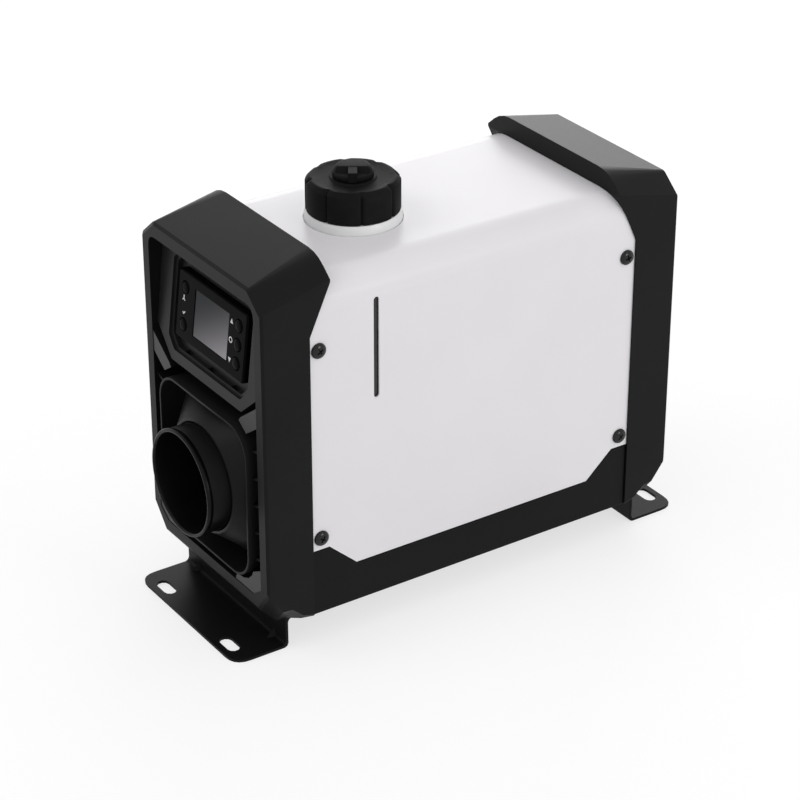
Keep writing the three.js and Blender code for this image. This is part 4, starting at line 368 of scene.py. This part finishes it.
def duct_bezel():
    """Rounded-square frame whose hood runs in to a round rim at the spout."""
    low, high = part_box("duct_bezel")
    half, front, back = (high.x - low.x) / 2, low.y, high.y
    steps, blend_steps = 144, 12
    corner, wall, edge = 21.5 * MM, 2.0 * MM, 0.5 * MM
    rim, bore = 41.3 * MM, 39.1 * MM
    lip, face = -174.6 * MM, -172 * MM
    foot = face + 19.8 * MM
    angles = [2 * math.pi * (i + 0.5) / steps for i in range(steps)]

    def square(inset, y):
        return [Vector((r * math.cos(a), y, AIR_AXIS.z + r * math.sin(a))) for a in angles
                for r in [rounded_square(half - inset, corner - inset, a)]]

    def circle(radius, y):
        return [Vector((radius * math.cos(a), y, AIR_AXIS.z + radius * math.sin(a))) for a in angles]

    def between(first, second, share):
        return [a.lerp(b, share) for a, b in zip(first, second)]

    top, floor_ring = circle(rim + 0.5 * MM, front + 0.7 * MM), square(wall + 0.3 * MM, foot)
    frame_rings = [square(0, back), square(0, lip + edge), square(edge * 0.3, lip + edge * 0.3),
                   square(edge, lip), square(wall - edge, lip),
                   square(wall - edge * 0.3, lip + edge * 0.3), square(wall, lip + edge),
                   square(wall, foot - 0.5 * MM), floor_ring]
    hood = [between(floor_ring, top, k / blend_steps) for k in range(1, blend_steps)]
    mouth = [top, circle(rim + 0.1 * MM, front + 0.2 * MM), circle(rim - 0.5 * MM, front),
             circle(bore + 0.5 * MM, front), circle(bore, front + 0.5 * MM), circle(bore, front + 3 * MM)]
    under = [circle(rim - 1.4 * MM, front + 3.2 * MM), square(wall + 0.6 * MM, foot + 2.2 * MM),
             square(wall, back)]
    rings = frame_rings + hood + mouth + under
    points = [p for ring in rings for p in ring]
    piece = make("outlet_bezel", points, ring_faces(len(rings), steps, True), BEZEL_PLASTIC, "case",
                 sharp=40)
    outward(piece)
    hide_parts("duct_bezel")


CAP_RADIUS = 32.8 * MM
CAP_LOBES = 8
LOBE_STEPS = 24
NOTCH_HALF_WIDTH = 1.5 * MM
NOTCH_WIDE = 3.6 * MM


def cap_ring(inset, z, notch=1.8 * MM, half_width=NOTCH_WIDE):
    """One level of the cap's skirt: broad grips between narrow notches."""
    radius = CAP_RADIUS - inset
    points = []
    for lobe in range(CAP_LOBES):
        for k in range(LOBE_STEPS):
            share = k / LOBE_STEPS
            angle = 2 * math.pi * (lobe + share) / CAP_LOBES
            from_notch = abs(share - 0.5) * 2 * math.pi / CAP_LOBES * radius
            r = radius - notch * max(0.0, 1 - from_notch / half_width)
            points.append(Vector((r * math.cos(angle), r * math.sin(angle), z)) + Vector((0, CAP_AXIS.y, 0)))
    return points


def fuel_cap():
    """Screw cap: a notched skirt, a round top with a shallow groove, and the bore for its knob."""
    low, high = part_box("fuel_cap")
    bottom, top = low.z, high.z
    skirt = [(0.7 * MM, bottom), (0.2 * MM, bottom + 0.2 * MM), (0, bottom + 0.8 * MM),
             (0, top - 3.3 * MM), (0.2 * MM, top - 2.9 * MM)]
    shoulder = [(2.5 * MM, top - 0.6 * MM), (2.9 * MM, top - 0.2 * MM), (3.5 * MM, top)]
    outer_rings = [cap_ring(inset, z, half_width=NOTCH_HALF_WIDTH) for inset, z in skirt]
    outer_rings += [cap_ring(inset, z) for inset, z in shoulder]
    outer_rings.append(cap_ring(5.6 * MM, top - 0.3 * MM, notch=0.6 * MM))
    count = len(outer_rings[0])

    def plain(radius, z):
        middle = Vector((0, CAP_AXIS.y, 0))
        angles = [2 * math.pi * i / count for i in range(count)]
        return [Vector((radius * math.cos(a), radius * math.sin(a), z)) + middle for a in angles]

    inner, knob_bore = 27.1 * MM, 5.1 * MM
    groove, roof = top - 0.8 * MM, top - 3 * MM
    rings = outer_rings + [plain(24.6 * MM, groove), plain(16.4 * MM, groove), plain(15.8 * MM, top),
                           plain(knob_bore, top), plain(knob_bore, roof), plain(inner, roof),
                           plain(inner, bottom)]
    points = [p for ring in rings for p in ring]
    piece = make("tank_cap", points, ring_faces(len(rings), count, True), CAP_PLASTIC, "cap", sharp=42)
    outward(piece)
    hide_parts("fuel_cap")


def prism(outline, low, high, edge):
    """Rings of a flat-topped prism with a rounded top edge, from a list of (x, y)."""
    middle = Vector((sum(p[0] for p in outline), sum(p[1] for p in outline))) / len(outline)

    def ring(inset, z):
        corners = []
        for x, y in outline:
            reach = Vector((x, y)) - middle
            reach = reach * (1 - inset / reach.length)
            corners.append(Vector((middle.x + reach.x, middle.y + reach.y, z)))
        return corners

    return [ring(0, low), ring(0, high - edge), ring(edge * 0.3, high - edge * 0.3), ring(edge, high)]


def stack(name, rings, surface, body, place):
    """A closed solid through a stack of rings, capped at both ends, moved by a matrix."""
    sharp = 38
    count = len(rings[0])
    points = [place @ p for ring in rings for p in ring]
    faces = ring_faces(len(rings), count, False)
    faces.append(tuple(reversed(range(count))))
    last = (len(rings) - 1) * count
    faces.append(tuple(range(last, last + count)))
    piece = make(name, points, faces, surface, body, sharp)
    outward(piece)
    return piece


VENT_TURN = math.radians(56)


def cap_vent():
    """The cap's breather knob: a round disc with a slanted half-round grip and a pointer bar on it."""
    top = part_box("cap_vent")[1].z
    cap_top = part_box("fuel_cap")[1].z
    base, level = cap_top + CLEARANCE, cap_top + 4.4 * MM
    radius, stem, stem_foot = 14.4 * MM, 4.8 * MM, cap_top - 2.7 * MM
    profile = [(0, stem_foot), (stem, stem_foot), (stem, base), (radius - 0.8 * MM, base),
               (radius - 0.2 * MM, base + 0.5 * MM), (radius, base + 1.2 * MM),
               (radius, level - 0.9 * MM), (radius - 0.3 * MM, level - 0.3 * MM),
               (radius - 0.9 * MM, level), (0, level)]
    piece = turned("vent_knob", profile, Vector((0, CAP_AXIS.y, 0)), "Z", CAP_PLASTIC, "cap", steps=64,
                   sharp=45)
    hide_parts("cap_vent")
    place = Matrix.Translation((0, CAP_AXIS.y, 0)) @ Matrix.Rotation(VENT_TURN, 4, "Z")

    def half_disc(reach, back, z):
        """A round with its side towards the pointer cut off flat."""
        steps = 40
        start = -math.asin(back / reach)
        arc = [start + (math.pi - 2 * start) * i / steps for i in range(steps + 1)]
        return [Vector((reach * math.cos(a), reach * math.sin(a), z)) for a in arc]

    levels = [(13.4 * MM, 6.6 * MM, level - 0.3 * MM), (13.4 * MM, 6.3 * MM, level + 0.3 * MM),
              (12.4 * MM, 4.4 * MM, top - 1.5 * MM), (11.4 * MM, 3.5 * MM, top - 0.5 * MM),
              (10.6 * MM, 3.2 * MM, top - 0.1 * MM), (10.0 * MM, 2.9 * MM, top)]
    stack("vent_grip", [half_disc(*measures) for measures in levels], CAP_PLASTIC, "cap", place)
    half, tip, root = 3.1 * MM, -radius - 0.3 * MM, 1 * MM
    pointer = [(-half, tip), (half, tip), (half, root), (-half, root)]
    pointer_piece = stack("vent_pointer", prism(pointer, base + 0.4 * MM, top - 0.2 * MM, 0.3 * MM),
                          CAP_PLASTIC, "cap", place)
    round_edges(pointer_piece, 0.5 * MM)


def console_place(x, depth, z):
    """From the console's own frame, depth into the case, to the object's."""
    c, s = math.cos(CONSOLE_TILT), math.sin(CONSOLE_TILT)
    return CONSOLE_ORIGIN + Vector((x, depth * c + z * s, z * c - depth * s))


CONSOLE_FRAME = Matrix.Translation(CONSOLE_ORIGIN) @ Matrix.Rotation(-CONSOLE_TILT, 4, "X")

BUTTON_COLUMN = 35 * MM
BUTTON_ROW = 13.6 * MM
BUTTONS = {
    "settings_button": (-BUTTON_COLUMN, BUTTON_ROW),
    "ok_button": (-BUTTON_COLUMN, -BUTTON_ROW),
    "up_button": (BUTTON_COLUMN, BUTTON_ROW),
    "power_button": (BUTTON_COLUMN, 0),
    "down_button": (BUTTON_COLUMN, -BUTTON_ROW),
}


def buttons():
    """Domed round keys with a flange behind the panel, each on its own body."""
    front, flange_front, flange_back = -0.5 * MM, 2.5 * MM, 5.3 * MM
    radius, flange = BUTTON_RADIUS, BUTTON_RADIUS + 0.8 * MM
    profile = [(0, front), (radius * 0.45, front + 0.06 * MM), (radius * 0.75, front + 0.2 * MM),
               (radius * 0.92, front + 0.45 * MM), (radius, front + 0.9 * MM), (radius, flange_front),
               (flange, flange_front), (flange, flange_back), (0, flange_back)]
    for name, (x, z) in BUTTONS.items():
        piece = turned(name + "_key", profile, Vector((0, 0, 0)), "Y", GLOSS_PLASTIC, name + "_body",
                       steps=40, sharp=50)
        piece.data.transform(CONSOLE_FRAME @ Matrix.Translation((x, 0, z)))
        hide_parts(name)


def printed(name, outline, holes=()):
    """A flat white mark on the controller's face, from (x, z) points, with as many points round its hole."""
    depth, thick = 0.34 * MM, 0.05 * MM
    count = len(outline)
    points = [console_place(x, y, z) for line in (outline, holes) for y in (depth, depth + thick)
              for x, z in line]
    if holes:
        faces = []
        for i in range(count):
            j = (i + 1) % count
            faces.append((i, j, 2 * count + j, 2 * count + i))
            faces.append((count + i, 3 * count + i, 3 * count + j, count + j))
            faces.append((i, count + i, count + j, j))
            faces.append((2 * count + i, 2 * count + j, 3 * count + j, 3 * count + i))
    else:
        faces = [tuple(range(count)), tuple(reversed(range(count, 2 * count)))]
        faces += [(i, count + i, count + (i + 1) % count, (i + 1) % count) for i in range(count)]
    piece = make(name, points, faces, PRINT, "case")
    outward(piece)


def marks():
    """Plain key marks: up, down, a ring, a small tool and a tick."""
    size, ring_steps = 2.1 * MM, 32
    for name, (x, z), sign in (("mark_up", (25.9, 13.4), 1), ("mark_down", (26.6, -14.0), -1)):
        x, z = x * MM, z * MM
        foot = z - sign * size * 0.7
        printed(name, [(x - size * 0.85, foot), (x + size * 0.85, foot), (x, z + sign * size)])
    x, z = 26.2 * MM, 0.2 * MM
    angles = [2 * math.pi * i / ring_steps for i in range(ring_steps)]
    outer, inner = [[(x + radius * math.cos(a), z + radius * math.sin(a)) for a in angles]
                    for radius in (2.2 * MM, 1.4 * MM)]
    printed("mark_ring", outer, inner)
    outlines = {
        "mark_tool": ((-36.3, 5.6), [(-0.5, 2.2), (0.5, 2.2), (0.6, -0.2), (1.9, -1.6), (1.0, -1.9),
                                     (0, -1.0), (-1.0, -1.9), (-1.9, -1.6), (-0.6, -0.2)]),
        "mark_confirm": ((-35.1, -5.0), [(-1.9, 0.2), (-1.2, 0.9), (-0.5, 0.1), (1.4, 1.7), (1.9, 1.1),
                                         (-0.5, -1.3)]),
    }
    for name, ((x, z), corners) in outlines.items():
        printed(name, [(x * MM + right * MM, z * MM + up * MM) for right, up in corners])


def screw_head(name, node, outward_axis, spin):
    """Pan head with a cross recess, over the plain solid of the same screw."""
    low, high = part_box(node)
    middle = (low + high) / 2
    steps, radius, height, shank = 48, 5.65 * MM, 2.6 * MM, 2.0 * MM
    if outward_axis.x:
        seat = (high.x if outward_axis.x > 0 else low.x) - outward_axis.x * height
        origin = Vector((seat, middle.y, middle.z))
        length = 6 * MM
    else:
        origin = Vector((middle.x, middle.y, low.z + height))
        length = 9 * MM
    profile = [(radius, 0.0), (radius, 0.5 * MM), (radius * 0.97, 1.0 * MM), (radius * 0.9, 1.55 * MM),
               (radius * 0.76, 2.1 * MM), (radius * 0.55, 2.45 * MM), (radius * 0.42, height)]
    arm, half = radius * 0.50, 0.62 * MM
    points = [Vector((0, 0, -length))]
    rings = [(shank, -length), (shank, 0.0)] + profile
    for r, h in rings:
        points += [Vector((r * math.cos(2 * math.pi * i / steps), r * math.sin(2 * math.pi * i / steps), h))
                   for i in range(steps)]
    faces = [(0, 1 + (i + 1) % steps, 1 + i) for i in range(steps)]
    faces += [tuple(1 + v for v in f) for f in ring_faces(len(rings), steps, False)]
    top = 1 + (len(rings) - 1) * steps
    faces.append(tuple(range(top, top + steps)))
    piece = make(name, points, faces, SCREW_STEEL, "case", sharp=50)
    outward(piece)
    cutter = cross_cutter(arm, half, height)
    boolean = piece.modifiers.new("cross", "BOOLEAN")
    boolean.object = cutter
    boolean.solver = "EXACT"
    turn = Vector((0, 0, 1)).rotation_difference(outward_axis).to_matrix().to_4x4()
    bpy.context.view_layer.update()
    bake_modifiers(piece)
    bpy.data.objects.remove(cutter)
    piece.data.transform(Matrix.Translation(origin) @ turn @ Matrix.Rotation(spin, 4, "Z"))
    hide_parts(node)


def cross_cutter(arm, half, height):
    """A four-armed tapering star that sinks into a screw head."""
    tip, foot = height + 0.5 * MM, 0.9 * MM
    taper = 0.55
    outline = [(arm, -half), (arm, half), (half, half), (half, arm), (-half, arm), (-half, half),
               (-arm, half), (-arm, -half), (-half, -half), (-half, -arm), (half, -arm), (half, -half)]
    points = [(x * taper, y * taper, foot) for x, y in outline] + [(x, y, tip) for x, y in outline]
    count = len(outline)
    faces = [tuple(reversed(range(count))), tuple(range(count, 2 * count))]
    faces += [(i, (i + 1) % count, count + (i + 1) % count, count + i) for i in range(count)]
    mesh = bpy.data.meshes.new("cross_cutter")
    mesh.from_pydata(points, [], faces)
    cutter = bpy.data.objects.new("cross_cutter", mesh)
    bpy.context.scene.collection.objects.link(cutter)
    return cutter


def bake_modifiers(piece):
    """Turns a piece's modifiers into its mesh and marks the sharp edges anew."""
    graph = bpy.context.evaluated_depsgraph_get()
    graph.update()
    mesh = bpy.data.meshes.new_from_object(piece.evaluated_get(graph))
    piece.modifiers.clear()
    piece.data = mesh
    mesh.polygons.foreach_set("use_smooth", [True] * len(mesh.polygons))
    mesh.set_sharp_from_angle(angle=BAKED_SHARP)


def screws():
    """A head for every screw, each turned a little further than the one before."""
    spin, further = 0.4, 1.1
    for end in ("front", "rear"):
        for side, sign in (("left", -1), ("right", 1)):
            for level in ("low", "high"):
                node = f"screw_{end}_{side}_{level}"
                screw_head(node + "_head", node, Vector((sign, 0, 0)), spin)
                spin += further
            node = f"foot_screw_{end}_{side}"
            screw_head(node + "_head", node, Vector((0, 0, -1)), spin)


# ---------------------------------------------------------------- everything together

def paint_sheen_on_corner_plates():
    """The four plates set back in the front cover's face are a little paler than the rest of it: a painted
    sheen for the light they catch.
    """
    plate_depth, tolerance = 0.5 * MM, 0.15 * MM
    furthest_side, lowest = 69 * MM, 40 * MM
    forward = -0.9
    mesh = NODES["front_cover"].data
    mesh.materials.append(PLATE_PAINTED_SHEEN)
    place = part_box("front_cover")[0].y + plate_depth
    for face in mesh.polygons:
        inside = abs(face.center.x) < furthest_side and face.center.z > lowest
        if inside and face.normal.y < forward and abs(face.center.y - place) < tolerance:
            face.material_index = 1


def dress_solids():
    """The surface of every solid that stays in view, with the rounding of its edges in millimetres."""
    plain = {
        "body_cover": (WHITE_PAINT, 0.35),
        "base_tray": (BLACK_PAINT, 0.3),
        "front_cover": (COVER_PLASTIC, 1.2),
        "rear_cover": (COVER_PLASTIC, 1.2),
        "front_foot": (BLACK_PAINT, 0.4),
        "rear_foot": (BLACK_PAINT, 0.4),
        "display_console": (CONSOLE_PLASTIC, 0.5),
        "controller_case": (GLOSS_PLASTIC, 0.3),
        "controller_back": (COVER_PLASTIC, 0.3),
        "controller_board": (BOARD, 0),
        # The display's base colour holds a painted reflection.
        "lcd_screen": (SCREEN_WITH_PAINTED_REFLECTION, 0),
        # Painted shade behind the level slot.
        "level_window": (SLOT_PAINTED_SHADE, 0.2),
        "cable_grommet": (RUBBER, 0.3),
        "air_duct": (COVER_PLASTIC, 0.2),
        "fuel_tank": (TANK_PLASTIC, 0.4),
        "tank_shelf": (STEEL, 0.2),
        "cap_gasket": (RUBBER, 0.2),
        "core_shell_lower": (COVER_PLASTIC, 0.3),
        "core_shell_upper": (COVER_PLASTIC, 0.3),
        "heat_exchanger": (ALUMINIUM, 0.2),
        "base_gasket": (RUBBER, 0.2),
        "exhaust_pipe": (STEEL, 0.2),
        "combustion_air_pipe": (ALUMINIUM, 0.2),
        "burner": (STEEL, 0),
        "glow_plug": (STEEL, 0),
        "scroll_housing": (ALUMINIUM, 0.2),
        "combustion_impeller": (ALUMINIUM, 0),
        "blower_motor": (STEEL, 0.2),
        "motor_shaft": (STEEL, 0),
        "cabin_fan": (COVER_PLASTIC, 0),
        "inlet_guard": (COVER_PLASTIC, 0.2),
        "control_unit": (COVER_PLASTIC, 0.3),
        "fuel_pump": (STEEL, 0.2),
        "pump_clamp": (RUBBER, 0.2),
        "suction_hose": (RUBBER, 0),
        "feed_hose": (RUBBER, 0),
    }
    for node, (surface, edge) in plain.items():
        dress(node, surface, edge * MM)
    # Painted sheen on the front cover's corner plates.
    paint_sheen_on_corner_plates()


def lamp(name, location, target, size, power):
    """A rectangular area lamp that looks at its target, in metres and watts."""
    data = bpy.data.lights.new(name, "AREA")
    data.shape = "RECTANGLE"
    data.size, data.size_y = size
    data.energy = power
    light = bpy.data.objects.new(name, data)
    light.location = location
    light.rotation_euler = (Vector(target) - Vector(location)).to_track_quat("-Z", "Y").to_euler()
    bpy.context.scene.collection.objects.link(light)


def seen_rays(tree):
    """1 for rays that look at the surround: from the camera, off gloss or through glass."""
    rays = tree.nodes.new("ShaderNodeLightPath")
    total = rays.outputs["Is Camera Ray"]
    for kind in ("Is Glossy Ray", "Is Transmission Ray"):
        either = tree.nodes.new("ShaderNodeMath")
        either.operation = "MAXIMUM"
        tree.links.new(total, either.inputs[0])
        tree.links.new(rays.outputs[kind], either.inputs[1])
        total = either.outputs[0]
    return total


def studio():
    """White surround for the camera and for reflections, a pale floor that keeps the shadow, soft lamps."""
    world = bpy.data.worlds.new("studio")
    bpy.context.scene.world = world
    world.use_nodes = True
    tree = world.node_tree
    back = tree.nodes["Background"]
    back.inputs["Color"].default_value = (1, 1, 1, 1)
    tree.links.new(spread(tree, seen_rays(tree), 0, 1, WORLD_STRENGTH, WORLD_SEEN), back.inputs["Strength"])

    floor_mesh = bpy.data.meshes.new("floor")
    corners = [(x * FLOOR_HALF, y * FLOOR_HALF, 0) for x, y in ((-1, -1), (1, -1), (1, 1), (-1, 1))]
    floor_mesh.from_pydata(corners, [], [(0, 1, 2, 3)])
    floor = bpy.data.objects.new("floor", floor_mesh)
    floor.location.z = -FLOOR_DROP
    bpy.context.scene.collection.objects.link(floor)
    paper = bpy.data.materials.new("floor_paper")
    paper.use_nodes = True
    tree = paper.node_tree
    output = tree.nodes["Material Output"]
    tree.nodes.remove(tree.nodes["Principled BSDF"])
    diffuse = tree.nodes.new("ShaderNodeBsdfDiffuse")
    glow = tree.nodes.new("ShaderNodeEmission")
    seen = seen_rays(tree)
    tree.links.new(spread(tree, seen, 0, 1, 0, FLOOR_GLOW), glow.inputs["Strength"])
    tree.links.new(mix_color(tree, seen, FLOOR_COLOR, FLOOR_SEEN), diffuse.inputs["Color"])
    total = tree.nodes.new("ShaderNodeAddShader")
    tree.links.new(diffuse.outputs[0], total.inputs[0])
    tree.links.new(glow.outputs[0], total.inputs[1])
    tree.links.new(total.outputs[0], output.inputs["Surface"])
    floor_mesh.materials.append(paper)

    lamp("key", (-1.0, -2.2, 2.3), (0, 0, 0.15), (1.4, 1.4), 7)
    lamp("overhead", (1.9, 0.8, 2.1), (0, 0, 0.15), (1.0, 1.0), 3)
    lamp("back", (-2.2, 1.6, 1.1), (0, 0, 0.25), (1.8, 1.8), 24)
    lamp("edge", (2.35, 0.8, 0.62), (0, 0, 0.2), (0.6, 0.6), 9)


def camera():
    """The camera that was fitted to the photo."""
    data = bpy.data.cameras.new("camera")
    data.lens = CAMERA_LENS
    data.sensor_width = CAMERA_SENSOR
    eye = bpy.data.objects.new("camera", data)
    a, e = CAMERA_AZIMUTH, CAMERA_ELEVATION
    back = Vector((math.sin(a) * math.cos(e), -math.cos(a) * math.cos(e), math.sin(e)))
    eye.location = CAMERA_TARGET + back * CAMERA_DISTANCE
    eye.rotation_mode = "QUATERNION"
    eye.rotation_quaternion = (-back).to_track_quat("-Z", "Y")
    bpy.context.scene.collection.objects.link(eye)
    bpy.context.scene.camera = eye


dress_solids()
outlet_spout()
duct_bezel()
fuel_cap()
cap_vent()
buttons()
marks()
screws()
studio()
camera()
bpy.context.scene.view_settings.view_transform = "Standard"
